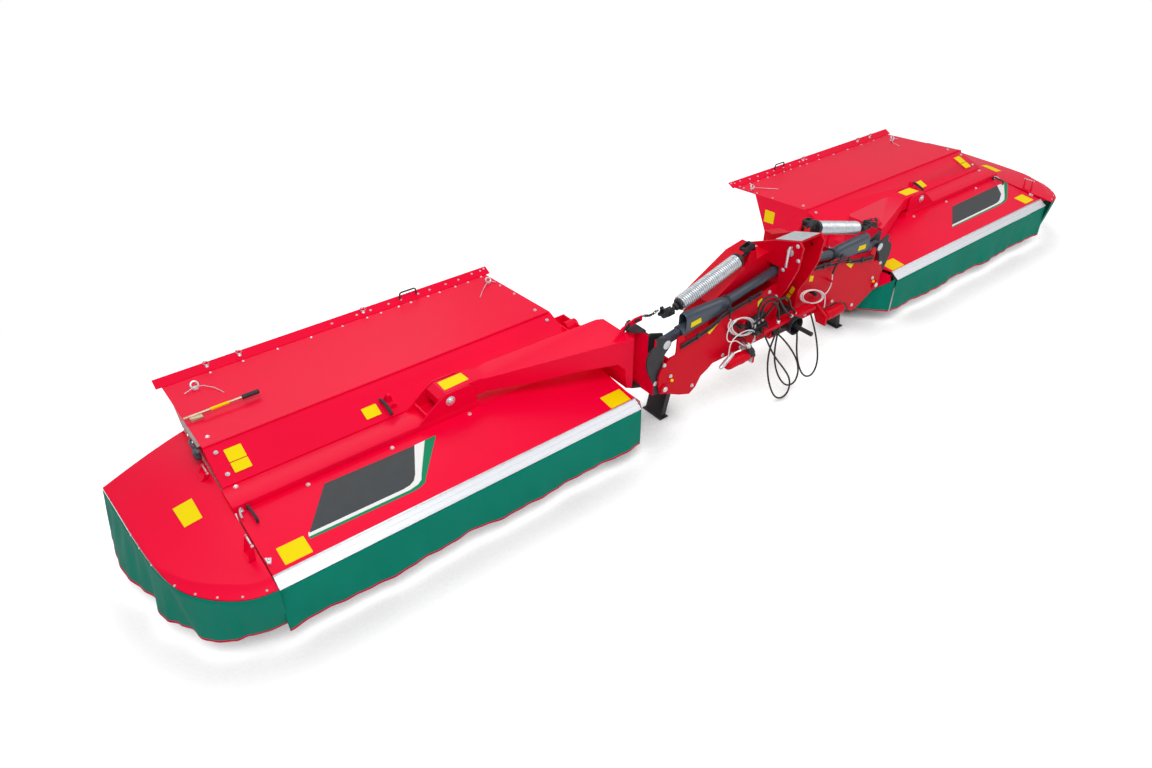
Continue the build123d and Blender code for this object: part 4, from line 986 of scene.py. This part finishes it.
def unitFittings(sideName, side):
    unit = sideName + "_unit"
    places = [(mirrored(side, x, y, guardHeight(y)), (0, -0.132, 0.991)) for x, y in unitBolts["guard"]]
    places += [(mirrored(side, x, y, hoodFrontHeight(y)), (0, -0.379, 0.925)) for x, y in unitBolts["hoodFront"]]
    places += [(mirrored(side, x, y, hoodTopHeight(y)), (0, 0.072, 0.997)) for x, y in unitBolts["hoodTop"]]
    places.append((mirrored(side, 3.997, -0.140, 0.577), (0, 0, 1)))
    boltPiece(sideName + "_unit_bolts", places, unit, 0.011)
    lip = []
    for i, x in enumerate(unitBolts["lipLow"]):
        lip.append((mirrored(side, x, 1.030, hoodTopHeight(1.030)), (0, 0.07, 1)))
        if i > 3:
            lip.append((mirrored(side, x + 0.055, 1.088, 0.652), (0, -0.51, 0.86)))
    for x, y in fittingSettings["edgeBolts"]:
        lip.append((mirrored(side, x, y, hoodTopHeight(y) if y < 1.06 else 0.6335 + 0.58 * (y - 1.0575)),
                    (0, 0.0, 1)))
    boltPiece(sideName + "_lip_bolts", lip, unit, 0.0075)
    rings = []
    for x in fittingSettings["lipRings"]:
        rings.append(ringPart(mirrored(side, x, 1.092, 0.682), (0.4, 1, 0.3), 0.020, 0.0045))
        rings.append(turned(mirrored(side, x, 1.092, 0.650), (0, -0.3, 1),
                            ((0, 0.012), (0.003, 0.014), (0.010, 0.012), (0.014, 0.006)), 14))
    rings.append(ringPart(mirrored(side, 3.890, 0.889, hoodTopHeight(0.889) + 0.030), (0, -0.8, 0.6), 0.023, 0.0075))
    rings.append(turned(mirrored(side, 3.890, 0.889, hoodTopHeight(0.889)), (0, 0.07, 1),
                        ((-0.002, 0.022), (0.003, 0.024), (0.012, 0.020), (0.016, 0.010)), 20))
    rings.append(ringPart(mirrored(side, 1.566, 0.903, hoodTopHeight(0.903) + 0.028), (0, -0.8, 0.6), 0.021, 0.0065))
    rings.append(turned(mirrored(side, 1.566, 0.903, hoodTopHeight(0.903)), (0, 0.07, 1),
                        ((-0.002, 0.018), (0.003, 0.020), (0.010, 0.018), (0.014, 0.008)), 20))
    newPiece(sideName + "_ring_bolts", *joinParts(rings), zincPlate, unit, smooth=40)
    wires = [rod(side, fittingSettings["outerWire"], 0.0028, 8),
             rod(side, fittingSettings["innerWire"], 0.0028, 8)]
    newPiece(sideName + "_ring_wires", *joinParts(wires), zincPlate, unit, smooth=50)
    # black grip on the front guard, clamp lever by the arm, grip on the lip
    grips = [barHandle(mirrored(side, 3.997, -0.312, guardHeight(-0.312)),
                       mirrored(side, 3.989, -0.430, guardHeight(-0.430)), 0.034, 0.0085),
             barHandle(mirrored(side, 2.261, 1.092, 0.652), mirrored(side, 2.118, 1.092, 0.652), 0.060, 0.0065),
             rod(side, fittingSettings["clampLever"], 0.011, 12)]
    newPiece(sideName + "_grips", *joinParts(grips), gripRubber, unit, smooth=45)
    clamp = [facePlate(side, -0.012, fittingSettings["clampRear"], 0.030),
             facePlate(side, -0.062, fittingSettings["clampFront"], 0.020)]
    softenEdges(newPiece(sideName + "_clamp", *joinParts(clamp), redPaint, unit), 0.0015)
    # lever on top of the hood, near side only
    if side < 0:
        z = 0.712
        lever = [sweepRound([mirrored(side, 4.062, 0.521, z - 0.012), mirrored(side, 3.948, 0.503, z),
                             mirrored(side, 3.60, 0.506, z)], 0.0085, 12),
                 prism([mirrored(side, x, y, hoodTopHeight(y) - 0.001) for x, y in fittingSettings["leverSeat"]],
                       (0, 0, 0.016))]
        newPiece(sideName + "_lever", *joinParts(lever), goldZinc, unit, smooth=35)
        band = turned(mirrored(side, 3.900, 0.5035, z), (-side, 0.0055, 0),
                      ((0, 0.009), (0.001, 0.0105), (0.116, 0.0105), (0.118, 0.009)), 16)
        newPiece(sideName + "_lever_band", *band, yellowLabel, unit, smooth=35)
        grip = turned(mirrored(side, 3.700, 0.505, z), (-side, 0.008, 0),
                      ((0, 0.011), (0.003, 0.0155), (0.010, 0.016), (0.090, 0.015), (0.108, 0.016), (0.112, 0.012)),
                      18)
        newPiece(sideName + "_lever_grip", *grip, gripRubber, unit, smooth=35)
    # folded lip along the crease between the hood's front and top
    fold = [(0.163, hoodFrontHeight(0.163) + 0.0008), (0.160, hoodFrontHeight(0.160) + 0.0045), (0.166, 0.7035),
            (0.172, 0.7048),
            (0.186, 0.7040), (0.194, hoodTopHeight(0.194) + 0.0008)]
    lip = prism([mirrored(side, 1.506, y, z) for y, z in fold], (side * 2.556, 0, 0))
    softenEdges(newPiece(sideName + "_hood_fold", *lip, redPaint, unit), 0.0012)
    # small latches beside the side guard
    latches = [rod(side, fittingSettings["latchBar"], 0.0070, 12),
               turned(mirrored(side, 4.034, -0.302, 0.528), (0, -0.13, 0.99),
                      ((0, 0.015), (0.004, 0.016), (0.010, 0.013), (0.013, 0.008)), 18),
               prism([mirrored(side, x, y, guardHeight(y) - 0.001) for x, y in fittingSettings["latchPlate"]],
                     (0, 0, 0.014)),
               turned(mirrored(side, 4.040, -0.712, guardHeight(-0.712) + 0.010), (0, -0.13, 0.99),
                      ((0, 0.009), (0.006, 0.009), (0.009, 0.006)), 14)]
    softenEdges(newPiece(sideName + "_latches", *joinParts(latches), zincPlate, unit, smooth=40), 0.0008, angle=50)
    # galvanised outer wall and the knob cluster below the crease
    w = wallSettings
    plate = [prism([mirrored(side, w["face"], y, z) for y, z in w["outline"]], (side * 0.0015, 0, 0)),
             prism([mirrored(side, x, y, z) for x, y,
                    z in ((4.060, 0.205, 0.692), (w["face"], 0.205, 0.692), (w["face"], 0.560, 0.6665),
                          (4.060, 0.560, 0.6665))], (0, 0, 0.0015))]
    softenEdges(newPiece(sideName + "_wall_plate", *joinParts(plate), galvanised, unit), 0.0005)
    places = [(mirrored(side, w["face"] + 0.0015, y, z), (side, 0, 0)) for y, z in w["bolts"]]
    boltPiece(sideName + "_wall_bolts", places, unit, 0.009)
    knobs = []
    for y, z, start, radius, reach in w["knobs"]:
        knobs.append(turned(mirrored(side, start, y, z), (side, 0, 0),
                            ((0, radius * 0.75), (0.004, radius * 0.9), (reach * 0.4, radius),
                             (reach * 0.7, radius * 0.9), (reach * 0.9, radius * 0.6), (reach, radius * 0.3)), 24))
    knobs.append(rod(side, fittingSettings["knobBar"], 0.009, 12))
    newPiece(sideName + "_knobs", *joinParts(knobs), bluePaint, unit, smooth=50)


# ropes: a strap on the cylinder, a short sleeve, the rope in loose turns on its peg, and one plug cable
ropeSettings = {"diameter": 0.0085, "turns": 4.0, "centre": (0.512, 0.700), "half": (0.148, 0.070), "tilt": 28}
farRopeSettings = {"turns": 4.0, "centre": (0.288, 0.668), "half": (0.158, 0.056), "tilt": -24}
cableSettings = {"diameter": 0.0095, "turns": 2.0, "centre": (0.520, 0.655), "half": (0.112, 0.055), "tilt": 28}
ropeSleeve = {
    "near": [(0.642, -0.838, 0.895), (0.642, -0.846, 0.902), (0.643, -0.854, 0.898), (0.644, -0.857, 0.880),
             (0.642, -0.855, 0.840), (0.640, -0.853, 0.806)],
    "far": [(0.636, -0.838, 0.895), (0.628, -0.846, 0.902), (0.610, -0.854, 0.898), (0.585, -0.857, 0.880),
            (0.548, -0.855, 0.830), (0.532, -0.853, 0.776)],
}


def turnsOnPeg(settings, first, plane, step, wander):
    # flat tilted turns, each a little off the last
    cx, cz = settings["centre"]
    lean = math.radians(settings["tilt"])
    route = []
    steps = int(settings["turns"] * 18)
    for k in range(steps + 1):
        angle = math.radians(first) - 2 * math.pi * k / 18
        grow = 1 + wander * math.sin(k * 0.281 + 0.7)
        a, b = settings["half"][0] * grow * math.cos(angle), settings["half"][1] * grow * math.sin(angle)
        route.append((cx + a * math.cos(lean) - b * math.sin(lean), plane - step * k / 18,
                      cz + a * math.sin(lean) + b * math.cos(lean)))
    return route


routeSettings = {
    "nearTail": [(0.640, -0.888, 0.800), (0.600, -0.893, 0.806), (0.628, -0.896, 0.792), (0.672, -0.897, 0.775),
                 (0.696, -0.897, 0.743), (0.700, -0.896, 0.690),
              (0.680, -0.894, 0.650), (0.645, -0.893, 0.627), (0.592, -0.894, 0.622), (0.538, -0.896, 0.575),
                 (0.482, -0.898, 0.528), (0.425, -0.899, 0.508),
              (0.384, -0.899, 0.540), (0.380, -0.898, 0.600), (0.420, -0.898, 0.650), (0.520, -0.900, 0.676),
                 (0.610, -0.902, 0.664), (0.652, -0.902, 0.626),
              (0.659, -0.901, 0.580), (0.658, -0.900, 0.509)],
    "farHead": [(0.532, -0.853, 0.782), (0.540, -0.856, 0.740), (0.537, -0.858, 0.674), (0.505, -0.860, 0.626)],
    "farTail": [(0.442, -0.892, 0.590), (0.448, -0.893, 0.560), (0.449, -0.893, 0.520)],
    "cableTail": [(0.500, -0.868, 0.585), (0.492, -0.900, 0.572), (0.486, -0.925, 0.560)],
    "strapTab": ((0.628, 0.872), (0.656, 0.868), (0.656, 0.908), (0.628, 0.912)),
}


def ropeCoil(sideName, side):
    s = ropeSettings
    route = [(0.640, -0.853, 0.812), (0.641, -0.857, 0.800)]
    route += turnsOnPeg(s, 20, -0.862, 0.0066, 0.10)
    route += routeSettings["nearTail"]
    if side > 0:
        route = routeSettings["farHead"]
        route += turnsOnPeg(farRopeSettings, 12, -0.862, 0.0066, 0.08)
        route += routeSettings["farTail"]
    rope = cordCurve(sideName + "_rope_line", [mirrored(side, *p) for p in route], s["diameter"], ropeWhite, "frame")
    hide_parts(sideName + "_rope")
    drop = ropeSleeve["far" if side > 0 else "near"]
    newPiece(sideName + "_rope_sleeve", *rod(side, drop, 0.0072, 12), hoseRubber, "frame", smooth=60)
    x, z = (0.300, 0.690) if side > 0 else (0.540, 0.712)
    peg = [turned(mirrored(side, x, -0.830, z), (0, -1, 0),
                  ((0, 0.010), (0.040, 0.010), (0.042, 0.016), (0.074, 0.016), (0.078, 0.010)), 18),
           facePlate(side, -0.830, routeSettings["strapTab"], -0.012)]
    softenEdges(newPiece(sideName + "_peg", *joinParts(peg), blackPaint, "frame", smooth=35), 0.001, angle=50)
    start = mirrored(side, 0.052, -0.765, 0.985)
    along = (mirrored(side, 1.212, -0.765, 0.788) - start).normalized()
    strap = turned(start + along * 0.540, along, ((0, 0.0462), (0.002, 0.0478), (0.022, 0.0478), (0.024, 0.0462)), 36)
    newPiece(sideName + "_strap", *strap, gripRubber, sideName + "_ram_rod", smooth=40)
    if side > 0:
        return
    c = cableSettings
    route = [(0.560, -0.834, 0.700), (0.590, -0.842, 0.708)] + turnsOnPeg(c, 50, -0.848, 0.004, 0.06)
    route += routeSettings["cableTail"]
    cable = cordCurve(sideName + "_cable_line", [mirrored(side, *p) for p in route], c["diameter"], hoseRubber,
                      "frame")
    start, end = mirrored(side, 0.486, -0.925, 0.560), mirrored(side, 0.419, -0.932, 0.440)
    way = end - start
    collar = turned(start - way * 0.02, way, ((0, 0.012), (0.004, 0.016), (0.034, 0.017), (0.038, 0.014)), 20)
    newPiece(sideName + "_plug_collar", *collar, whiteLabel, "frame", smooth=40)
    plug = turned(start + way * 0.22, way, ((0, 0.016), (0.004, 0.023), (0.040, 0.024), (0.046, 0.029),
                                            (0.070, 0.029), (0.074, 0.024), (0.110, 0.022), (0.116, 0.014)), 22)
    newPiece(sideName + "_plug", *plug, gripRubber, "frame", smooth=40)


# short hoses that arch from the holder to the cheeks, near side only
archSettings = {
    "diameter": 0.0165,
    "arch_one": [(-0.372, -0.850, 0.660), (-0.392, -0.905, 0.690), (-0.440, -0.945, 0.780), (-0.456, -0.950, 0.880),
                 (-0.405, -0.950, 0.930),
                 (-0.322, -0.950, 0.925), (-0.235, -0.950, 0.868), (-0.160, -0.948, 0.764), (-0.085, -0.945, 0.680),
                 (-0.010, -0.930, 0.625)],
    "arch_two": [(-0.330, -0.850, 0.665), (-0.350, -0.900, 0.700), (-0.392, -0.935, 0.780), (-0.392, -0.940, 0.852),
                 (-0.340, -0.945, 0.890),
                 (-0.265, -0.945, 0.850), (-0.205, -0.940, 0.770), (-0.170, -0.930, 0.690), (-0.165, -0.925, 0.620)],
    "arch_three": [(-0.290, -0.850, 0.672), (-0.300, -0.895, 0.705), (-0.285, -0.930, 0.790), (-0.225, -0.940, 0.850),
                   (-0.150, -0.940, 0.850),
                   (-0.085, -0.935, 0.800), (-0.045, -0.925, 0.720), (0.035, -0.915, 0.650), (0.060, -0.905, 0.600)],
}


def hoseArches():
    for key in ("arch_one", "arch_two", "arch_three"):
        route = archSettings[key]
        arch = cordCurve(key + "_line", route, archSettings["diameter"], hoseRubber, "frame")
    ends = []
    for key in ("arch_one", "arch_two", "arch_three"):
        first = Vector(archSettings[key][0])
        last, before = Vector(archSettings[key][-1]), Vector(archSettings[key][-2])
        ends.append(turned(first + Vector((0, 0.020, 0)), (0, -1, 0),
                           ((0, 0.017), (0.004, 0.019), (0.024, 0.019), (0.028, 0.013), (0.050, 0.012)), 6))
        ends.append(turned(last - (last - before).normalized() * 0.030, last - before,
                           ((0, 0.010), (0.004, 0.0145), (0.024, 0.0145), (0.026, 0.011), (0.052, 0.011),
                            (0.056, 0.007)), 18))
    newPiece("arch_couplings", *joinParts(ends), zincPlate, "frame", smooth=35)
    # cast holder that the hoses leave from
    holder = [prism([(x, -0.830, z) for x, z in ((-0.420, 0.590), (-0.424, 0.684), (-0.400, 0.702), (-0.250, 0.722),
                                                 (-0.228, 0.704), (-0.228, 0.612), (-0.262, 0.588))], (0, -0.020, 0)),
              prism([(x, -0.848, z) for x, z in ((-0.404, 0.585), (-0.404, 0.640), (-0.246, 0.650), (-0.246, 0.585))],
                    (0, -0.048, 0))]
    for x in (-0.378, -0.325, -0.272):
        holder.append(turned((x, -0.892, 0.612), (0, -1, -0.25),
                             ((0, 0.019), (0.004, 0.022), (0.030, 0.022), (0.034, 0.016)), 18))
    softenEdges(newPiece("hose_holder", *joinParts(holder), castBlack, "frame", smooth=35), 0.002, angle=50)


hoseArches()
for sideName, side in sides:
    crossBeam(sideName, side)
    unitFittings(sideName, side)
    ropeCoil(sideName, side)
print("unit fittings and ropes made")


# headstock and frame fittings
def chainLink(centre, along, turnedOver):
    # one oval link, every other one a quarter turn round
    along = Vector(along).normalized()
    across = along.cross(Vector((0, 0, 1))).normalized()
    if turnedOver:
        across = along.cross(across)
    path = [centre + along * (0.0135 * math.cos(a)) + across * (0.0080 * math.sin(a))
            for a in (2 * math.pi * k / 14 for k in range(15))]
    return sweepRound(path, 0.0034, 8)


frameSettings = {
    "cheekBolts": ((-0.956, 1.255), (-0.980, 1.150), (-0.590, 1.110), (-0.862, 1.031), (-0.54, 1.04), (-0.52, 0.90),
                   (-0.84, 0.80)),
    "frontBolts": ((1.241, 0.640), (1.172, 0.520), (0.943, 0.338), (0.453, 0.475), (0.640, 0.480), (0.30, 0.480),
                   (0.20, 0.86)),
    "topPlate": ((-0.741, 1.2245), (-0.961, 1.2925), (-0.962, 1.2955), (-0.740, 1.2275)),
    "pipeLine": ((0.300, 0.905), (0.560, 0.872), (0.684, 0.858), (0.741, 0.836), (0.787, 0.812), (0.876, 0.790),
                 (0.974, 0.768), (1.100, 0.752)),
    "pipeClips": ((0.42, 0.880), (0.74, 0.827), (0.94, 0.766)),
    "clipOutline": ((-0.011, -0.024), (0.011, -0.024), (0.011, 0.022), (-0.011, 0.022)),
    "corner": [(1.098, 0.655), (1.094, 0.700), (1.060, 0.792), (1.080, 0.820), (1.118, 0.820), (1.132, 0.804),
               (1.134, 0.700), (1.150, 0.655)],
    "crescentOut": ((1.262, 0.818), (1.326, 0.806), (1.374, 0.772), (1.392, 0.720), (1.384, 0.646), (1.346, 0.554),
                    (1.300, 0.480), (1.258, 0.436)),
    "crescentIn": ((1.232, 0.462), (1.262, 0.505), (1.288, 0.566), (1.303, 0.640), (1.306, 0.700), (1.292, 0.752),
                   (1.252, 0.790), (1.226, 0.806)),
    # outlines of the painted shade in the two holes of the arm's fin
    "finHoleShade": (((1.440, 0.868), (1.372, 0.905), (1.385, 0.935), (1.420, 0.910)),
                 ((1.345, 0.915), (1.280, 0.910), (1.290, 0.936), (1.330, 0.938))),
    "frontLabels": {"plate": [(0.842, 0.762), (0.765, 0.818), (0.735, 0.785), (0.812, 0.728)],
                    "cheek": [(0.275, 0.835), (0.320, 0.822), (0.315, 0.775), (0.270, 0.788)]},
    "innerLabels": {"inner_high": [(-0.806, 0.796), (-0.834, 0.783), (-0.812, 0.722), (-0.782, 0.733)],
                    "inner_low": [(-0.778, 0.722), (-0.808, 0.711), (-0.784, 0.648), (-0.752, 0.660)]},
}


def frameFittings():
    pins = []
    for side in (-1, 1):
        pins.append(sweepRound([(side * 0.131, -0.912, 1.232), (side * 0.150, -0.912, 1.236),
                                (side * 0.160, -0.912, 1.222), (side * 0.160, -0.908, 1.10),
                                (side * 0.157, -0.907, 1.084)], 0.0095, 14))
        pins.append(turned((side * 0.125, -0.905, 1.190), (side, 0, 0),
                           ((0, 0.026), (0.002, 0.029), (0.008, 0.029), (0.010, 0.020)), 24))
    newPiece("top_link_handles", *joinParts(pins), zincPlate, "frame", smooth=45)
    plate = prism([(-0.104, y, z) for y, z in frameSettings["topPlate"]], (0.208, 0, 0))
    softenEdges(newPiece("top_plate", *plate, zincPlate, "frame"), 0.0008)
    bolts = []
    for side in (-1, 1):
        for y, z in frameSettings["cheekBolts"]:
            bolts.append(((side * 0.125, y, z), (side, 0, 0)))
        for x, z in frameSettings["frontBolts"]:
            bolts.append(((side * x, -0.830, z), (0, -1, 0)))
    boltPiece("frame_bolts", bolts, "frame", 0.012)
    caps = [turned((side * 1.172, -0.8415, 0.492), (0, -1, 0), ((0, 0.011), (0.010, 0.011), (0.014, 0.007)), 16)
            for side in (-1, 1)]
    newPiece("grease_caps", *joinParts(caps), yellowLabel, "frame", smooth=35)
    # drive guard bell and its ring
    bell = turned((0, -0.868, 0.555), (0, -1, 0),
                  ((0, 0.060), (0.005, 0.066), (0.060, 0.068), (0.104, 0.074), (0.110, 0.074)), 40)
    # only the bell's wall: its two round ends stay open
    guard = newPiece("drive_guard", bell[0], [f for f in bell[1] if len(f) == 4], blackPaint, "frame", smooth=45)
    thick = guard.modifiers.new("wall", "SOLIDIFY")
    thick.thickness = 0.004
    ring = turned((0, -0.862, 0.555), (0, -1, 0), ((0, 0.040), (0.003, 0.046), (0.024, 0.046), (0.028, 0.040)), 32)
    newPiece("drive_ring", *ring, goldZinc, "frame", smooth=40)
    # hard pipes below the cylinders
    for sideName, side in sides:
        pipes = []
        for shift in (0.0, 0.024):
            line = smoothLine(frameSettings["pipeLine"], 4)
            pipes.append(sweepRound([mirrored(side, x, -0.8385, z - shift) for x, z in line], 0.0070, 10))
        for x, z in frameSettings["pipeClips"]:
            pipes.append(prism([mirrored(side, x + a, -0.831, z + b) for a, b in frameSettings["clipOutline"]],
                               (0, -0.017, 0)))
        newPiece(sideName + "_pipes", *joinParts(pipes), castBlack, "frame", smooth=40)
        head = turned(mirrored(side, 1.212, -0.8118, 0.788), (0, -1, 0),
                      ((0, 0.033), (0.0012, 0.034), (0.0026, 0.031), (0.0034, 0.018)), 28)
        newPiece(sideName + "_bracket_pins", *head, zincPlate, sideName + "_bracket", smooth=40)
        corner = frameSettings["corner"]
        softenEdges(newPiece(sideName + "_corner_plate", *facePlate(side, -0.8305, corner, 0.0115), frameRed,
                             "frame"), 0.0012)
        boss = turned(mirrored(side, 0.455, -0.905, 0.445), (side, 0, 0),
                      ((0, 0.040), (0.003, 0.044), (0.060, 0.044), (0.062, 0.047), (0.090, 0.047), (0.092, 0.044),
                                                                        (0.200, 0.044), (0.215, 0.041),
                       (0.224, 0.032), (0.228, 0.016)), 36)
        newPiece(sideName + "_link_boss", *boss, frameRed, "frame", smooth=45)
        start, end = mirrored(side, 0.597, -0.890, 0.508), mirrored(side, 0.770, -0.931, 0.467)
        pin = turned(start, end - start, ((0, 0.010), (0.004, 0.0165), (0.010, 0.018), (0.140, 0.018),
                                          (0.170, 0.0165), (0.180, 0.010)), 26)
        if side < 0:
            newPiece(sideName + "_boss_pin", *pin, zincPlate, "frame", smooth=45)
        low = turned(mirrored(side, 1.2985, -0.8118, 0.5004), (0, -1, 0),
                     ((0, 0.019), (0.0010, 0.020), (0.0024, 0.018), (0.0032, 0.010)), 24)
        newPiece(sideName + "_crescent_pin", *low, zincPlate, sideName + "_bracket", smooth=40)
        foldHead = turned(mirrored(side, 1.230, -0.8425, 0.437), (0, -1, 0),
                          ((0, 0.019), (0.003, 0.021), (0.008, 0.018), (0.011, 0.009)), 28)
        newPiece(sideName + "_fold_cap", *foldHead, zincPlate, "frame", smooth=40)
        # crescent lever on the front of the bracket
        crescent = smoothLine(frameSettings["crescentOut"], 4)
        crescent += smoothLine(frameSettings["crescentIn"], 4)
        lever = facePlate(side, -0.8125, crescent, 0.014)
        softenEdges(newPiece(sideName + "_crescent", *lever, castBlack, sideName + "_bracket", smooth=35), 0.002,
                    angle=50)
        # thin black patches on the arm's fin: painted shade where the inside of each hole lies in shadow
        holeShade = [facePlate(side, -0.6065, spots, -0.0008) for spots in
                 frameSettings["finHoleShade"]]
        newPiece(sideName + "_fin_hole_shade", *joinParts(holeShade), castBlack, sideName + "_arm")
        links = []
        ends = (mirrored(side, 1.264, -0.615, 0.950), mirrored(side, 1.155, -0.640, 0.966))
        for k in range(7):
            t = (k + 0.5) / 7
            spot = ends[0].lerp(ends[1], t) - Vector((0, 0, 0.020 * math.sin(math.pi * t)))
            links.append(chainLink(spot, ends[1] - ends[0], k % 2))
        newPiece(sideName + "_chain", *joinParts(links), castBlack, sideName + "_bracket", smooth=50)
        for key, corners in frameSettings["frontLabels"].items():
            surfacePlate(sideName + "_label_" + key, [mirrored(side, x, -0.8300, z) for x, z in corners], (0, -1, 0),
                         yellowLabel, "frame", lift=0.0004, round_=0.004)
        for key, corners in frameSettings["innerLabels"].items():
            surfacePlate(sideName + "_label_" + key, [(side * 0.105, y, z) for y, z in corners], (-side, 0, 0),
                         yellowLabel, "frame", lift=0.0004, round_=0.004)


frameFittings()
print("frame fittings made")


# floor, lights and background
stageSettings = {"floor": 0.90, "lit": 0.24, "glow": 1.50, "reach": 0.50, "near": 3.0, "far": 4.8, "world": 0.46,
                 "mirror": 0.60,
                 "half": 60, "contact": 2.0, "squash": 0.60, "aim": (0, 0, 0.4),
                 "lamps": {"key": ((-3.8, -4.2, 9.0), 5.0, 370), "fill": ((6.0, -3.8, 7.5), 6.0, 150),
                           "back": ((-1.0, 7.0, 7.5), 7.0, 215)}}
floorMesh = bpy.data.meshes.new("floor")
half = stageSettings["half"]
floorMesh.from_pydata([(-half, -half, 0), (half, -half, 0), (half, half, 0), (-half, half, 0)], [], [(0, 1, 2, 3)])
floor = bpy.data.objects.new("floor", floorMesh)
bpy.context.scene.collection.objects.link(floor)


def paleFloor():
    # white floor that keeps the shadow: plain paint for the light, and lifted to white where it is looked at; near
    # the object that white glow is dimmed by ambient occlusion, a painted contact shadow
    s = stageSettings
    material = bpy.data.materials.new("paleFloor")
    material.use_nodes = True
    tree = material.node_tree
    paint = tree.nodes["Principled BSDF"]
    paint.inputs["Base Color"].default_value = [s["floor"]] * 3 + [1]
    paint.inputs["Roughness"].default_value = 1.0
    paint.inputs["Specular IOR Level"].default_value = 0.0
    # painted contact shadow: ambient occlusion darkens the floor's white glow under and around the object
    paintedContactShadow = tree.nodes.new("ShaderNodeAmbientOcclusion")
    paintedContactShadow.samples = 8
    paintedContactShadow.inputs["Distance"].default_value = s["reach"]
    curve = tree.nodes.new("ShaderNodeMath")
    curve.operation = "POWER"
    curve.inputs[1].default_value = s["contact"]
    tree.links.new(paintedContactShadow.outputs["AO"], curve.inputs[0])
    glow = tree.nodes.new("ShaderNodeEmission")
    power = tree.nodes.new("ShaderNodeMath")
    power.operation = "MULTIPLY"
    power.inputs[1].default_value = s["glow"]
    tree.links.new(curve.outputs["Value"], power.inputs[0])
    tree.links.new(power.outputs["Value"], glow.inputs["Strength"])
    lit = tree.nodes.new("ShaderNodeMixShader")
    lit.inputs["Fac"].default_value = s["lit"]
    tree.links.new(glow.outputs["Emission"], lit.inputs[1])
    tree.links.new(paint.outputs["BSDF"], lit.inputs[2])
    place = tree.nodes.new("ShaderNodeTexCoord")
    squash = tree.nodes.new("ShaderNodeMapping")
    squash.inputs["Scale"].default_value = (s["squash"], 1, 1)
    tree.links.new(place.outputs["Object"], squash.inputs["Vector"])
    away = tree.nodes.new("ShaderNodeVectorMath")
    away.operation = "LENGTH"
    tree.links.new(squash.outputs["Vector"], away.inputs[0])
    fade = tree.nodes.new("ShaderNodeMapRange")
    fade.inputs["From Min"].default_value = s["near"]
    fade.inputs["From Max"].default_value = s["far"]
    tree.links.new(away.outputs["Value"], fade.inputs["Value"])
    white = tree.nodes.new("ShaderNodeEmission")
    seen = tree.nodes.new("ShaderNodeMixShader")
    tree.links.new(fade.outputs["Result"], seen.inputs["Fac"])
    tree.links.new(lit.outputs["Shader"], seen.inputs[1])
    tree.links.new(white.outputs["Emission"], seen.inputs[2])
    eye = tree.nodes.new("ShaderNodeLightPath")
    choose = tree.nodes.new("ShaderNodeMixShader")
    tree.links.new(eye.outputs["Is Camera Ray"], choose.inputs["Fac"])
    tree.links.new(paint.outputs["BSDF"], choose.inputs[1])
    tree.links.new(seen.outputs["Shader"], choose.inputs[2])
    tree.links.new(choose.outputs["Shader"], tree.nodes["Material Output"].inputs["Surface"])
    return material


floorMaterial = paleFloor()
floorMesh.materials.append(floorMaterial)

world = bpy.data.worlds.new("studio")
bpy.context.scene.world = world
world.use_nodes = True
sky = world.node_tree
backdrop = sky.nodes["Background"]
backdrop.inputs["Color"].default_value = (1, 1, 1, 1)
backdrop.inputs["Strength"].default_value = stageSettings["world"]
path = sky.nodes.new("ShaderNodeLightPath")
last = backdrop.outputs["Background"]
for ray, strength in (("Is Glossy Ray", stageSettings["mirror"]), ("Is Transmission Ray", 1.0),
                      ("Is Camera Ray", 1.0)):
    seen = sky.nodes.new("ShaderNodeBackground")
    seen.inputs["Strength"].default_value = strength
    pick = sky.nodes.new("ShaderNodeMixShader")
    sky.links.new(path.outputs[ray], pick.inputs["Fac"])
    sky.links.new(last, pick.inputs[1])
    sky.links.new(seen.outputs["Background"], pick.inputs[2])
    last = pick.outputs["Shader"]
sky.links.new(last, sky.nodes["World Output"].inputs["Surface"])

for lampName, (place, size, power) in stageSettings["lamps"].items():
    lampData = bpy.data.lights.new(lampName, "AREA")
    lampData.size = size
    lampData.energy = power
    lamp = bpy.data.objects.new(lampName, lampData)
    lamp.location = place
    lamp.rotation_euler = (Vector(stageSettings["aim"]) - Vector(place)).to_track_quat("-Z", "Y").to_euler()
    bpy.context.scene.collection.objects.link(lamp)
bpy.context.scene.view_settings.view_transform = "Standard"
print("floor and lights set")
